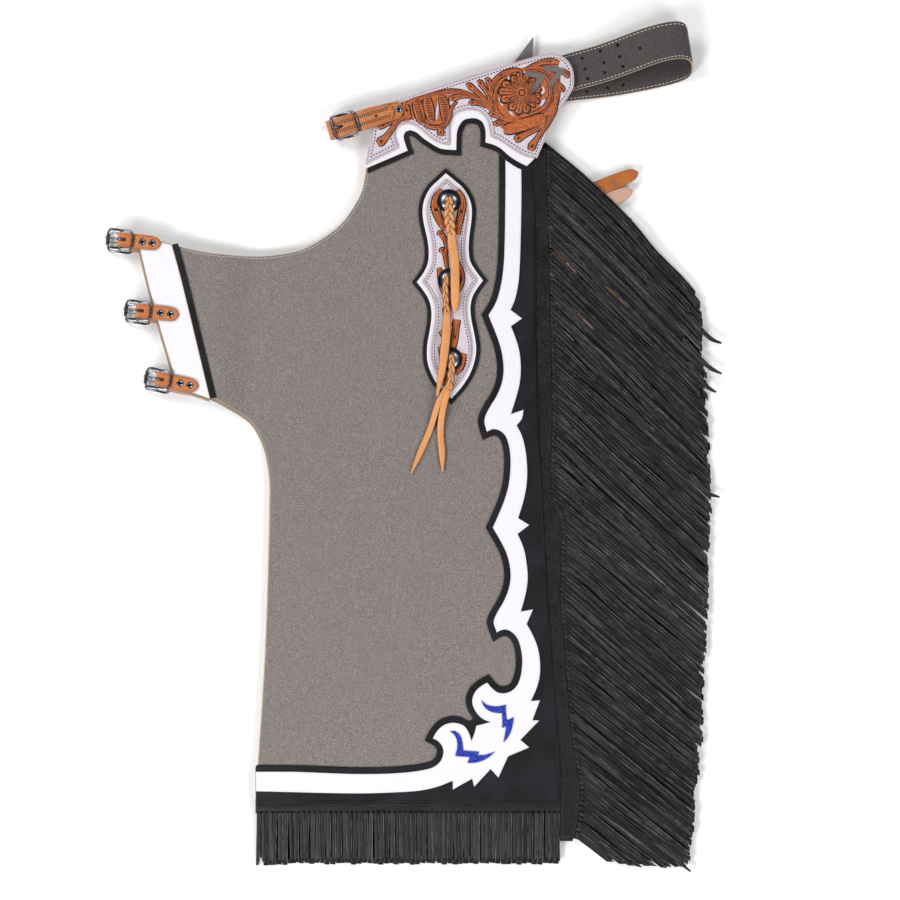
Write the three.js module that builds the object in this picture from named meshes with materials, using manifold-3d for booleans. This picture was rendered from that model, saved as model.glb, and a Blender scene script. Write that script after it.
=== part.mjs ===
// Fringed rodeo chaps, folded flat: the left leg lies face up on the right leg, which lies face down.
// The back belt loops round from one yoke to the other, and the front strap is buckled.
// Millimetres, +Z up. Across (X) runs from the inner edge to the fringe, up (Y) from the hem to the belt.

import * as THREE from 'three';
import { mergeVertices } from 'three/addons/utils/BufferGeometryUtils.js';
import Module from 'manifold-3d';

const wasm = await Module();
wasm.setup();

// Whole leg
const hemWidth = 360;
const hipHeight = 720;
const legShiftAcross = -1.2;
const legShiftUp = -3.6;
const thighLift = 6.5;

// Leather thicknesses
const panelLeather = 2.0;
const trimLeather = 1.4;
const yokeLeather = 2.0;
const flashLeather = 1.0;
const billetLeather = 2.0;
const strapLeather = 1.8;
const beltLeather = 2.0;
const laceLeather = 1.2;
const stringLeather = 1.8;
const layGap = 0.3;

// Trims
const borderMargin = 7.5;
const seamLap = 8;
const yokeMargin = 6;
const yokeLap = 3;
const medallionMargin = 4.8;
const medallionInset = 5.4;
const pipingWidth = 7.2;
const facingRim = 1.2;
const trimClearance = 0.5;

// Fringe
const sideLocks = 32;
const hemLocks = 24;
const lockGap = 1.4;
const hemFringeLength = 72;
const hemFringeHead = 10;
const fringeTipGap = 1.4;
const raggedShare = 0.05;
const topLockLean = 44.5;
const lowLockLean = 38;

// Straps and billets
const legStrapWidth = 15.6;
const legTabLength = 49.3;
const legTabReturn = 13.5;
const frontStrapWidth = 20.4;
const frontChapeLength = 74;
const frontChapeReturn = 25;
const frontBilletLength = 62;
const frontBilletHidden = 55;
const pointLength = 7;
const slotWidth = 3.2;
const slotBack = 5;
const slotFront = 7.2;
const tabRise = 0.5;
const tabBend = 8;
const chapeRampStart = 16.5;
const chapeRampEnd = 26;
const billetSlotBack = 12;
const billetSlotFront = 2;
const frontBarSeat = 2.2;

// Buckles
const buckleBar = 1.3;
const barClearance = 0.3;
const buckleBow = 3.0;
const legBuckleLength = 29.2;
const legBuckleWidth = 21.4;
const frontBuckleWidth = 28;
const frontBuckleBow = 5.2;
const buckleChamfer = 4;
const tongueWidth = 2.4;
const tongueEyeWall = 1.4;
const tongueReach = 3;
const tongueThickness = 1.7;

// Belt, lace, conchos and strings
const beltWidth = 45;
const beltLoopHeight = 24;
const laceWidth = 6;
const conchoDiameter = 28.4;
const conchoRise = 4.6;
const conchoRim = 1.0;
const stringWidth = 12;
const braidThickness = 3.2;

// Heights above the middle plane between the two legs
const panelLevel = billetLeather / 2 + layGap;
const borderLevel = panelLevel + panelLeather + layGap;
const scrollLevel = borderLevel + trimLeather + layGap;
const plateLevel = scrollLevel + trimLeather + layGap;
const plateTop = plateLevel + yokeLeather;
const facingTop = borderLevel + trimLeather;
const middleHeight = scrollLevel + trimLeather;

// Drafting grid: outlines are given in steps, 300 to the hem's width and 600 to the hip's height,
// counted from the hem's inner corner
const stepAcross = hemWidth / 300;
const stepUp = hipHeight / 600;
const creaseFlat = -2 * stepAcross;
const creaseRaised = -38 * stepAcross;

// Outline tables, columns: across, up

const innerEdge = [
  [0, 0], [2, 38], [6, 103], [10, 163], [12, 243], [14, 303], [14, 325], [12, 341], [9, 355], [4, 368],
  [-5, 382], [-16, 390.5], [-36, 402], [-42, 405], [-61, 410.5], [-79, 415],
];

const facingEdge = [[-82, 427], [-98, 481], [-116, 553], [-117.5, 566]];

const frontEdge = [
  [-96, 562], [-74, 556], [-56, 552], [-36, 549], [-16, 548], [4, 547], [24, 549], [44, 553], [64, 563],
  [84, 578], [98, 597], [106, 613], [111, 638],
];

const seamLine = [
  [274, 640], [277, 613], [279, 583], [280, 503], [281.5, 403], [285, 338], [288.5, 278], [293, 203],
  [296, 153], [299, 100], [303, 58], [304, 0],
];

const pipingLine = [[-80.2, 559], [-71, 525], [-42, 405]];

const scrollInner = [
  [249.5, 655], [249.4, 604], [248.6, 564], [247.6, 537], [244.5, 516], [240, 501], [232.5, 488],
  [237.3, 476], [242.7, 462], [246.3, 448], [247.6, 433], [246, 421], [241, 408], [233.7, 396],
  [229.3, 387], [228.4, 381], [231, 371.4], [237.3, 374], [243.6, 372.6], [249, 368], [252.6, 359],
  [254.4, 347], [254.4, 334], [252.6, 318], [248, 302], [242.7, 289], [236.8, 275.7], [243.6, 264],
  [250, 251.4], [253.5, 239], [254.6, 226.3], [252.6, 214], [247.2, 201], [241, 190.4], [237.7, 181.4],
  [240.9, 170.7], [244.4, 172.7], [250, 173.7], [255.7, 171.3], [261.3, 165], [264.8, 155],
  [266.3, 142.4], [264.8, 128], [261.3, 118.4], [255.7, 112.7], [248.6, 110.3], [241.6, 111.3],
  [236, 115.6], [231.4, 121], [224.6, 117], [219, 111.3], [216.2, 103], [217.6, 96], [221.8, 89],
  [227.5, 84], [234.2, 81.5], [227.5, 79.6], [220.4, 77.8], [218.7, 71], [215.8, 62.7], [213.4, 70],
  [209, 77], [202.8, 80], [195, 80.6], [186.6, 77.5], [180.2, 71], [177, 65], [182.3, 62],
  [186.6, 56.3], [187.3, 49.3], [184.5, 42.2], [178, 36.6], [165, 33], [140, 30.4], [102, 29.6],
  [38, 31.7], [0, 31.7],
];

const scrollOuter = [
  [265.5, 650], [265.7, 604], [264.8, 564], [264, 537], [262.5, 519], [259, 503], [255, 493.4],
  [266.4, 484.8], [255.3, 477], [259.8, 465.5], [263.4, 453], [265, 439], [264.3, 422.5], [261.6, 410],
  [255.3, 389.5], [267.9, 393.7], [266, 384.3], [261, 378], [266, 368], [269.6, 354], [271.4, 336],
  [271, 320], [268, 303.5], [262.5, 285.2], [273.6, 278.4], [262, 269.4], [268, 255], [271, 239],
  [272, 224.5], [270, 210], [265.2, 192], [277.4, 194.2], [271, 179.5], [276.8, 169], [281.8, 156.5],
  [284.2, 142.4], [283.9, 127], [281, 115.6], [275.4, 102.6], [284.3, 103.3], [276.8, 83.4],
  [283.6, 83], [264.8, 63.6], [273.6, 56], [252.4, 47], [242.6, 25.6], [234.8, 34.2], [218.3, 16.5],
  [216.2, 24.6], [196.9, 13.7], [196.7, 22.5], [182.3, 16.8], [165, 12.8], [140, 11], [102, 10],
  [46, 11.3], [0, 12],
];

const flashSide = [
  [225.4, 103.6], [229, 100], [234.5, 97.5], [241.6, 97], [250, 98.6], [249.8, 93], [251.2, 83],
  [257.8, 86.2], [256.8, 79], [254.3, 70.4], [251.2, 65], [247.5, 61], [248.6, 66.2], [249.8, 73],
  [250.3, 77], [246.2, 75.4], [246.5, 82], [246.2, 90.4], [240, 90.6], [233, 92.7], [228, 97.2],
];

const flashHem = [
  [194, 71.8], [199.3, 72.5], [204.2, 68.3], [206.3, 62], [207.4, 52.8], [223.2, 51.7], [222, 48],
  [229, 48.6], [239.2, 51.7], [233, 46.4], [226, 42.5], [219, 40.8], [211.7, 40.5], [214, 46.4],
  [199.3, 47.4], [201.4, 56.3], [201, 63.4], [198, 69],
];

const yokeRim = [
  [116, 692], [137.5, 701], [183.6, 716], [243.6, 734.5], [269.8, 743], [283.6, 747.6],
  [294.4, 749.2], [303.6, 748], [311.3, 743], [316.7, 734], [318.2, 724.5], [317.5, 715.3],
  [311.3, 704], [303.6, 693], [293.6, 676], [289.8, 664.5], [281.3, 644.5],
];

const yokePlateFoot = [
  [271, 647], [262, 651], [252.8, 657], [243.6, 663], [235, 667], [234.4, 673], [232.8, 680],
  [229.8, 686], [223.6, 691.5], [216, 694], [208, 693], [200.5, 690], [195, 683], [193.6, 674],
  [193.6, 658.4], [185, 660], [176, 664.5], [168, 671], [160.5, 677], [152.8, 680], [143.6, 677.6],
  [139.3, 672], [139.3, 664.5], [142.8, 656], [109.8, 639.2], [116.2, 672.2],
];

const yokeOverlayFoot = [
  [271, 637], [262, 641.5], [252.8, 647.6], [245, 654.5], [237.5, 658.4], [229.5, 660.7],
  [229.8, 667.6], [229, 675.3], [226, 681.5], [220.5, 684.5], [214.4, 684.8], [208, 683],
  [203.6, 677.6], [201.3, 671], [200.8, 664.5], [200.5, 653], [185, 654.5], [176, 659.2],
  [168, 664.5], [160.5, 670.7], [154.4, 673], [149.8, 671.5], [148, 667.6], [148.5, 663],
  [152, 652.5], [109.8, 634.5],
];

const medallion = [
  [190, 630], [198.5, 623], [206.5, 616], [213, 606], [215.8, 596.5], [216, 587], [214.5, 574],
  [213.2, 563], [213, 552], [214.5, 542], [220, 532.4], [227.3, 522.8], [221, 514], [217, 507],
  [214.8, 497], [215.3, 486], [217.4, 475], [219.6, 463.5], [220.4, 454], [219, 443], [214.5, 430],
  [206.5, 417], [195.6, 404.5], [180, 421], [175.3, 430], [172, 439.5], [171, 449], [171.6, 460.3],
  [173.6, 471.5], [175.3, 483], [175.3, 494], [172.8, 503.6], [167.2, 513], [160.8, 521], [168, 531],
  [172, 540.4], [172.8, 552], [171.6, 563], [169.6, 572.5], [167.2, 584], [166.8, 595],
  [168.8, 604.5], [174.4, 615], [182.5, 623],
];

const fringeCutLine = [
  [290, 655], [291, 600], [294, 463], [296, 403], [296, 303], [304, 283], [304, 203], [308, 163],
  [314, 80], [319, 45], [324, 15], [322, -13], [318, -36],
];

const fringeTips = [
  [289, 662], [341, 619], [377, 583], [397.5, 558], [428, 527.5], [448.5, 502], [452, 476.5],
  [455, 406], [458, 365], [456, 323], [457, 277], [454.5, 246], [453.7, 191], [450.4, 133],
  [448.7, 67], [442, 9], [439.6, -28], [434.6, -61], [423, -64], [373, -61], [353, -60], [340, -54],
  [322, -47],
];

// Lace, columns: across, up
const laceChevrons = [
  [[269, 729.5], [286.5, 726.2], [276, 711.5]],
  [[288.5, 735], [305, 732], [294, 717]],
];
const laceEnd = [[277.8, 767.5], [276, 728], [262, 728], [258, 741]];

// Belt sections, columns: across, up, height as a share of the loop's height, direction of the run in degrees
const beltUpper = [
  [293, 725.5, 0, 13], [311, 730, 0, 13], [320, 732.6, 0, 15], [346, 739.5, 0.22, 17],
  [371, 748, 0.52, 19], [391, 755, 0.8, 18], [410, 760, 0.95, 11], [423, 761.3, 1, 8],
];
const beltFold = [
  [429, 760, 0.93, 8], [432.4, 757, 0.74, 9], [433.6, 752.5, 0.5, 9], [432.6, 748, 0.27, 10],
  [429, 744.4, 0.1, 11],
];
const beltLower = [
  [418, 740, 0, 15], [400, 735.2, 0, 14], [384, 731.8, 0, 11], [359, 727.2, 0, 9], [343, 725, 0, 8],
];
const beltLowerEnd = [[320, 722.2, 0, 7], [293, 719, 0, 6]];

// Billets under the fringe, columns: start across, start up, tip across, tip up
const leftBillets = [[256, 580.5, 383, 631.5], [258, 523, 376, 585], [258, 452.5, 384, 528]];
const rightBillets = [[256, 565, 378, 616.5], [258, 508, 373, 569], [258, 437, 381, 511]];

// Leg buckles, columns: across and up of the centre bar, slope of the strap in degrees
const legBuckles = [[-135, 563.3, -7], [-117, 492.2, -6.5], [-97, 424, -11.5]];
const frontBuckle = [89, 677, 16.5];

// Conchos, columns: across, up
const conchos = [[193, 601.5], [193.7, 522.8], [194.6, 443.5]];

// Strings, columns: across, up, lift as a share of the concho's stack, width as a share, braided
const strings = [
  [[
    [193, 607, 1, 1, 1], [193, 590, 1, 1, 1], [194, 576, 0.6, 0.9, 1], [196, 566, 0.55, 1, 0],
    [198.6, 540, 1.02, 0.95, 0], [199, 515, 1.06, 0.95, 0], [199, 500, 0.75, 0.8, 0],
    [198.5, 489.5, 0.6, 0.25, 0],
  ]],
  [[
    [189.6, 529, 1, 0.6, 1], [189.4, 512, 1, 0.62, 1], [190.4, 496, 0.55, 0.7, 1], [191, 484, 0.55, 0.9, 0],
    [189.6, 462, 0.95, 0.9, 0], [187, 440, 1, 0.85, 0], [184.4, 424, 0.6, 0.6, 0], [181, 407, 0.45, 0.2, 0],
  ]],
  [
    [
      [196, 448, 1, 0.62, 1], [195.6, 430, 0.9, 0.66, 1], [193, 418, 0.1, 0.66, 1], [184, 404, 0.02, 0.6, 0],
      [174, 373.5, -1, 0.62, 0], [164, 350, -1, 0.62, 0], [155, 329.5, -1, 0.2, 0],
    ],
    [
      [193, 418, 0.1, 0.66, 1], [190.5, 408, 0.02, 0.66, 0], [186.6, 392, -0.5, 0.66, 0],
      [184.4, 371, -1, 0.68, 0], [186, 350, -1, 0.68, 0], [186.6, 331.4, -1, 0.25, 0],
    ],
  ],
];

// Materials, as colour, roughness and metalness
const materials = {
  greyLeather: new THREE.MeshStandardMaterial({ color: '#857b77', roughness: 0.6 }),
  blackLeather: new THREE.MeshStandardMaterial({ color: '#1d1e22', roughness: 0.5 }),
  whiteLeather: new THREE.MeshStandardMaterial({ color: '#f2f2f4', roughness: 0.5 }),
  blueSatin: new THREE.MeshStandardMaterial({ color: '#2740b8', roughness: 0.35, metalness: 0.4 }),
  tooledLeather: new THREE.MeshStandardMaterial({ color: '#e4dcdd', roughness: 0.5 }),
  tanLeather: new THREE.MeshStandardMaterial({ color: '#d08a54', roughness: 0.5 }),
  nickel: new THREE.MeshStandardMaterial({ color: '#c2c4c8', roughness: 0.25, metalness: 1 }),
  silver: new THREE.MeshStandardMaterial({ color: '#b9babd', roughness: 0.35, metalness: 1 }),
};

// Outlines

// Grid steps to millimetres
function place(rows) {
  return rows.map(([across, up]) => new THREE.Vector2(across * stepAcross, up * stepUp));
}

function distanceToLine(point, line, closed) {
  let nearest = Infinity;
  const last = closed ? line.length : line.length - 1;
  for (let i = 0; i < last; i += 1) {
    const start = line[i];
    const along = line[(i + 1) % line.length].clone().sub(start);
    const share = THREE.MathUtils.clamp(point.clone().sub(start).dot(along) / along.lengthSq(), 0, 1);
    nearest = Math.min(nearest, point.distanceTo(start.clone().addScaledVector(along, share)));
  }
  return nearest;
}

// A line moved to the left of its direction; points that come too near another stretch are dropped
function beside(line, distance, closed = false) {
  const sharpest = 2.2;
  const moved = line.map((point, i) => {
    const before = closed ? line.at(i - 1) : line[Math.max(i - 1, 0)];
    const after = closed ? line[(i + 1) % line.length] : line[Math.min(i + 1, line.length - 1)];
    const into = point.clone().sub(before).normalize();
    const out = after.clone().sub(point).normalize();
    const along = into.clone().add(out).normalize();
    const reference = out.lengthSq() > 0 ? out : into;
    const lean = Math.max(along.dot(reference), 1 / sharpest);
    return new THREE.Vector2(point.x - along.y * distance / lean, point.y + along.x * distance / lean);
  });
  return moved.filter((point) => distanceToLine(point, line, closed) > Math.abs(distance) * 0.97);
}

// Where a ray from a point first crosses a line
function rayHit(start, direction, line) {
  let nearest = null;
  for (let i = 0; i + 1 < line.length; i += 1) {
    const along = line[i + 1].clone().sub(line[i]);
    const offset = line[i].clone().sub(start);
    const turn = direction.cross(along);
    const reach = offset.cross(along) / turn;
    const share = offset.cross(direction) / turn;
    if (turn !== 0 && reach > 0 && share >= 0 && share <= 1 && (nearest === null || reach < nearest)) {
      nearest = reach;
    }
  }
  return nearest;
}

// The across position of a line at a given up position
function acrossAt(line, up) {
  const i = Math.max(line.findIndex((point) => point.y <= up), 1);
  const share = (line[i - 1].y - up) / (line[i - 1].y - line[i].y);
  return THREE.MathUtils.lerp(line[i - 1].x, line[i].x, share);
}

// Solids

function flatPlate(outline, bottom, thickness, holes = []) {
  const shape = new THREE.Shape(outline);
  shape.holes = holes.map((hole) => new THREE.Path(hole));
  const geometry = new THREE.ExtrudeGeometry(shape, { depth: thickness, bevelEnabled: false });
  return geometry.translate(0, 0, bottom);
}

// A side view in X and Z, given its width along Y
function sideProfile(outline, width) {
  const shape = new THREE.Shape(outline.map(([x, z]) => new THREE.Vector2(x, z)));
  const geometry = new THREE.ExtrudeGeometry(shape, { depth: width, bevelEnabled: false });
  return geometry.rotateX(Math.PI / 2).translate(0, width / 2, 0);
}

function solidOf(geometry) {
  const bare = geometry.clone();
  bare.deleteAttribute('normal');
  bare.deleteAttribute('uv');
  const merged = mergeVertices(bare, 1e-4);
  const mesh = new wasm.Mesh({
    numProp: 3,
    vertProperties: new Float32Array(merged.getAttribute('position').array),
    triVerts: new Uint32Array(merged.index.array),
  });
  return new wasm.Manifold(mesh);
}

function geometryOf(solid) {
  const mesh = solid.getMesh();
  const geometry = new THREE.BufferGeometry();
  geometry.setAttribute('position', new THREE.BufferAttribute(mesh.vertProperties, 3));
  geometry.setIndex(new THREE.BufferAttribute(mesh.triVerts, 1));
  geometry.computeVertexNormals();
  return geometry;
}

function joined(geometries) {
  return geometryOf(geometries.map(solidOf).reduce((whole, piece) => whole.add(piece)));
}

function cut(geometry, tool) {
  return geometryOf(solidOf(geometry).subtract(solidOf(tool)));
}

function common(geometry, other) {
  return geometryOf(solidOf(geometry).intersect(solidOf(other)));
}

// Sections of equal count joined in order, closed into a ring or capped at both ends
function loft(sections, ring = false) {
  const count = sections[0].length;
  const positions = sections.flat().flatMap((point) => [point.x, point.y, point.z]);
  const index = [];
  const spans = ring ? sections.length : sections.length - 1;
  for (let row = 0; row < spans; row += 1) {
    const next = (row + 1) % sections.length;
    for (let side = 0; side < count; side += 1) {
      const a = row * count + side;
      const b = row * count + ((side + 1) % count);
      const c = next * count + ((side + 1) % count);
      const d = next * count + side;
      index.push(a, b, c, a, c, d);
    }
  }
  if (!ring) {
    const end = (sections.length - 1) * count;
    for (let side = 1; side + 1 < count; side += 1) {
      index.push(0, side + 1, side);
      index.push(end, end + side, end + side + 1);
    }
  }
  const geometry = new THREE.BufferGeometry();
  geometry.setAttribute('position', new THREE.Float32BufferAttribute(positions, 3));
  geometry.setIndex(index);
  return facingOut(geometry);
}

function facingOut(geometry) {
  const points = geometry.getAttribute('position');
  const index = geometry.index.array;
  let volume = 0;
  for (let i = 0; i < index.length; i += 3) {
    const [a, b, c] = [0, 1, 2].map((k) => new THREE.Vector3().fromBufferAttribute(points, index[i + k]));
    volume += a.dot(b.cross(c));
  }
  if (volume < 0) {
    for (let i = 0; i < index.length; i += 3) {
      [index[i + 1], index[i + 2]] = [index[i + 2], index[i + 1]];
    }
  }
  geometry.computeVertexNormals();
  return geometry;
}

// A flat band along a path; each row has a centre, the direction of its width, a width and a thickness
function band(rows) {
  const sections = rows.map((row, i) => {
    const before = rows[Math.max(i - 1, 0)].centre;
    const after = rows[Math.min(i + 1, rows.length - 1)].centre;
    const along = after.clone().sub(before).normalize();
    const across = row.across.clone().normalize();
    const out = along.clone().cross(across).normalize();
    return [[1, 1], [-1, 1], [-1, -1], [1, -1]].map(([side, face]) => row.centre.clone()
      .addScaledVector(across, side * row.width / 2)
      .addScaledVector(out, face * row.thickness / 2));
  });
  return loft(sections);
}

// Triangles split along lines of constant X, so that a plate can be creased there
function splitAcross(triangles, x) {
  const tiny = 1e-6;
  return triangles.flatMap((triangle) => [-1, 1].flatMap((side) => {
    const kept = [];
    triangle.forEach((point, i) => {
      const next = triangle[(i + 1) % 3];
      const here = (point.x - x) * side;
      const there = (next.x - x) * side;
      if (here >= -tiny) {
        kept.push(point);
      }
      if ((here > tiny && there < -tiny) || (here < -tiny && there > tiny)) {
        kept.push(point.clone().lerp(next, here / (here - there)));
      }
    });
    const area = kept.some((point) => (point.x - x) * side > tiny);
    return area ? kept.slice(2).map((point, i) => [kept[0], kept[i + 1], point]) : [];
  }));
}

// A plate creased along two lines of constant X, with its own rise at each and a straight ramp between
function creased(geometry, [startAcross, startRise], [endAcross, endRise]) {
  const flat = geometry.index ? geometry.toNonIndexed() : geometry;
  const points = flat.getAttribute('position');
  let triangles = [];
  for (let i = 0; i < points.count; i += 3) {
    triangles.push([0, 1, 2].map((k) => new THREE.Vector3().fromBufferAttribute(points, i + k)));
  }
  triangles = splitAcross(splitAcross(triangles, startAcross), endAcross);
  const positions = triangles.flat().flatMap(({ x, y, z }) => {
    const share = THREE.MathUtils.clamp((x - startAcross) / (endAcross - startAcross), 0, 1);
    return [x, y, z + THREE.MathUtils.lerp(startRise, endRise, share)];
  });
  const bent = new THREE.BufferGeometry();
  bent.setAttribute('position', new THREE.Float32BufferAttribute(positions, 3));
  bent.computeVertexNormals();
  return bent;
}

// The thigh tab rides up over the buckles that lie under it
function raisedAtThigh(geometry, lift) {
  return creased(geometry, [creaseRaised, lift], [creaseFlat, 0]);
}

function named(name, geometry, material) {
  const mesh = new THREE.Mesh(geometry, material);
  mesh.name = name;
  return mesh;
}

// Leg panel, border and scroll

const seam = place(seamLine);
const panelSide = seam.map((point) => new THREE.Vector2(point.x - seamLap, point.y));
const hiddenRim = beside(place(yokeRim), -yokeLap);
const beltEndAcross = beltUpper[0][0] * stepAcross;

function legPanel(lift) {
  const top = hiddenRim.slice(0, hiddenRim.findIndex((point) => point.x > beltEndAcross - layGap));
  const last = top.at(-1);
  const shoulder = new THREE.Vector2(last.x, seam[0].y + (last.x - panelSide[0].x) * 1.5);
  const side = panelSide.filter((point) => point.y > seamLap);
  const foot = new THREE.Vector2(acrossAt(panelSide, seamLap), seamLap);
  const hemEnd = new THREE.Vector2(place(innerEdge)[0].x, seamLap);
  const outline = [
    ...place(facingEdge), ...place(frontEdge), ...top, shoulder, ...side, foot, hemEnd,
    ...place(innerEdge).slice(1),
  ];
  return raisedAtThigh(flatPlate(outline, panelLevel, panelLeather), lift);
}

const overlayFoot = place(yokeOverlayFoot);
const backingOutline = [...hiddenRim, ...beside(overlayFoot, yokeMargin)];
const yokeCutter = flatPlate(beside(backingOutline, trimClearance, true), panelLevel, plateTop);

function legBorder() {
  const inner = beside(place(scrollInner), -borderMargin);
  const outline = [...seam, new THREE.Vector2(0, 0), ...inner.reverse()];
  return cut(flatPlate(outline, borderLevel, trimLeather), yokeCutter);
}

function legScroll() {
  const outline = [...place(scrollInner), ...place(scrollOuter).reverse()];
  return cut(flatPlate(outline, scrollLevel, trimLeather), yokeCutter);
}

// Thigh facing and piping

function thighPiping(lift) {
  const piping = place(pipingLine);
  const outline = [...beside(piping, -pipingWidth / 2), ...beside(piping, pipingWidth / 2).reverse()];
  return raisedAtThigh(flatPlate(outline, borderLevel, trimLeather), lift);
}

function thighFacing(lift) {
  const rawEdge = place([...facingEdge].reverse().concat(innerEdge.slice(-1)));
  const inner = beside(place(pipingLine), -pipingWidth / 2 - layGap);
  const outline = [...beside(rawEdge, facingRim), ...inner.reverse()];
  return raisedAtThigh(flatPlate(outline, borderLevel, trimLeather), lift);
}

// Fringes

// A comb of locks from a head; each lock has two roots and two tips
function comb(head, roots, tips) {
  const outline = [...head];
  roots.forEach(([upper, lower], i) => outline.push(upper, ...tips[i], lower));
  return flatPlate(outline, panelLevel, panelLeather);
}

// The locks lie flat over the billets, then fall to their tips
function sideFringe(fall) {
  const cutLine = place(fringeCutLine);
  const tipLine = place(fringeTips);
  const inner = panelSide.map((point) => new THREE.Vector2(point.x + layGap, point.y));
  const lowEnd = new THREE.Vector2(seam.at(-1).x + layGap, cutLine.at(-1).y - pointLength);
  const hemTurn = new THREE.Vector2(lowEnd.x, 0);
  const firstUp = cutLine[0].y;
  const pitch = (firstUp - cutLine.at(-1).y) / sideLocks;
  const roots = [];
  const tips = [];
  for (let i = 0; i < sideLocks; i += 1) {
    const top = firstUp - i * pitch - lockGap / 2;
    const bottom = firstUp - (i + 1) * pitch + lockGap / 2;
    const lean = THREE.MathUtils.degToRad(THREE.MathUtils.lerp(topLockLean, lowLockLean, i / sideLocks));
    const direction = new THREE.Vector2(Math.cos(lean), -Math.sin(lean));
    const ragged = 1 - raggedShare * Math.cos(i * 2.4) ** 2;
    const pair = [top, bottom].map((up) => new THREE.Vector2(acrossAt(cutLine, up), up));
    const reaches = pair.map((root) => (rayHit(root, direction, tipLine) ?? pitch) * ragged);
    roots.push(pair);
    tips.push(pair.map((root, k) => {
      const length = Math.max(reaches[k], pitch / 2);
      return root.clone().addScaledVector(direction, length);
    }));
  }
  const head = [lowEnd, hemTurn, ...inner.filter((point) => point.y > 0).reverse()];
  const fallStart = Math.max(...leftBillets.map((row) => row[2])) * stepAcross + lockGap;
  const fallEnd = Math.max(...tipLine.map((tip) => tip.x));
  return creased(comb(head, roots, tips), [fallStart, 0], [fallEnd, -fall]);
}

function hemFringe(fall) {
  const right = acrossAt(panelSide, seamLap) - layGap;
  const end = seam.at(-1).x - layGap;
  const pitch = end / hemLocks;
  const roots = [];
  const tips = [];
  for (let i = 0; i < hemLocks; i += 1) {
    const sides = [end - i * pitch - lockGap / 2, end - (i + 1) * pitch + lockGap / 2];
    const ragged = 1 - raggedShare * Math.cos(i * 1.9) ** 2;
    roots.push(sides.map((across) => new THREE.Vector2(across, -hemFringeHead)));
    tips.push(sides.map((across) => new THREE.Vector2(across, -hemFringeLength * ragged)));
  }
  const top = seamLap - layGap;
  const head = [new THREE.Vector2(0, top), new THREE.Vector2(right - layGap, top),
    new THREE.Vector2(right - layGap, -layGap), new THREE.Vector2(end, -layGap)];
  const fringe = comb(head, roots, tips);
  const points = fringe.getAttribute('position');
  for (let i = 0; i < points.count; i += 1) {
    const share = Math.max(0, (-hemFringeHead - points.getY(i)) / (hemFringeLength - hemFringeHead));
    points.setZ(i, points.getZ(i) - share * fall);
  }
  return fringe;
}

// Straps and buckles

// A strap that comes in along +X, wraps a bar at the origin and goes back under itself
function wrappedStrap(top, returnLength) {
  const inner = buckleBar + barClearance;
  const outer = inner + strapLeather;
  const mid = inner + strapLeather / 2;
  const arc = (radius, from, to) => [0, 1, 2, 3, 4].map((i) => {
    const angle = THREE.MathUtils.degToRad(THREE.MathUtils.mapLinear(i, 0, 4, from, to));
    return [radius * Math.cos(angle), radius * Math.sin(angle)];
  });
  const under = tabRise - strapLeather - layGap;
  const half = strapLeather / 2;
  const upper = top.map(([x, z]) => [x, z + half]);
  const lower = top.map(([x, z]) => [x, z - half]);
  return [
    ...upper.reverse(), [mid * 1.6, outer * 0.85], ...arc(outer, 90, 270), [mid * 1.6, -outer * 0.9],
    [mid * 3.2, under - half], [returnLength, under - half], [returnLength, under + half],
    [mid * 3.2, under + half], [mid * 1.6, -inner * 0.8], ...arc(inner, 270, 90),
    [mid * 1.6, inner * 0.65], ...lower,
  ];
}

// The plan of a strap with a blunt point, and a slot for the tongue
function strapPlan(back, length, width, slot) {
  const half = width / 2;
  const outline = [
    [back, -half], [length - pointLength, -half], [length - pointLength / 3, -half * 0.55], [length, 0],
    [length - pointLength / 3, half * 0.55], [length - pointLength, half], [back, half],
  ];
  const hole = [
    [slot[0], -slotWidth / 2], [slot[1], -slotWidth / 2], [slot[1], slotWidth / 2], [slot[0], slotWidth / 2],
  ];
  const points = (rows) => rows.map(([x, y]) => new THREE.Vector2(x, y));
  return flatPlate(points(outline), -hipHeight / 2, hipHeight, [points(hole)]);
}

// A bent wire frame with chamfered corners, its ends higher than its sides, and a bar across the middle
function buckleFrame(length, width, bow) {
  const [end, side] = [length / 2, width / 2];
  const quarter = [[0, side], [end - buckleChamfer, side], [end, side - buckleChamfer]];
  const loop = [
    ...quarter, ...quarter.slice(1).reverse().map(([x, y]) => [x, -y]), [0, -side],
    ...quarter.slice(1).map(([x, y]) => [-x, -y]), ...quarter.slice(1).reverse().map(([x, y]) => [-x, y]),
  ];
  const sides = 8;
  const sections = loop.map(([x, y], i) => {
    const before = new THREE.Vector2(...loop.at(i - 1));
    const after = new THREE.Vector2(...loop[(i + 1) % loop.length]);
    const here = new THREE.Vector2(x, y);
    const into = here.clone().sub(before).normalize();
    const along = into.clone().add(after.sub(here).normalize()).normalize();
    const out = new THREE.Vector2(along.y, -along.x).multiplyScalar(buckleBar / along.dot(into));
    const z = bow * (x / end) ** 2;
    return Array.from({ length: sides }, (_, k) => {
      const angle = ((k + 0.5) / sides) * 2 * Math.PI;
      const reach = Math.cos(angle);
      return new THREE.Vector3(x + out.x * reach, y + out.y * reach, z + buckleBar * Math.sin(angle));
    });
  });
  const bar = new THREE.CylinderGeometry(buckleBar, buckleBar, width, sides).rotateY(Math.PI / sides);
  return joined([loft(sections, true), bar]);
}

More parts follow.
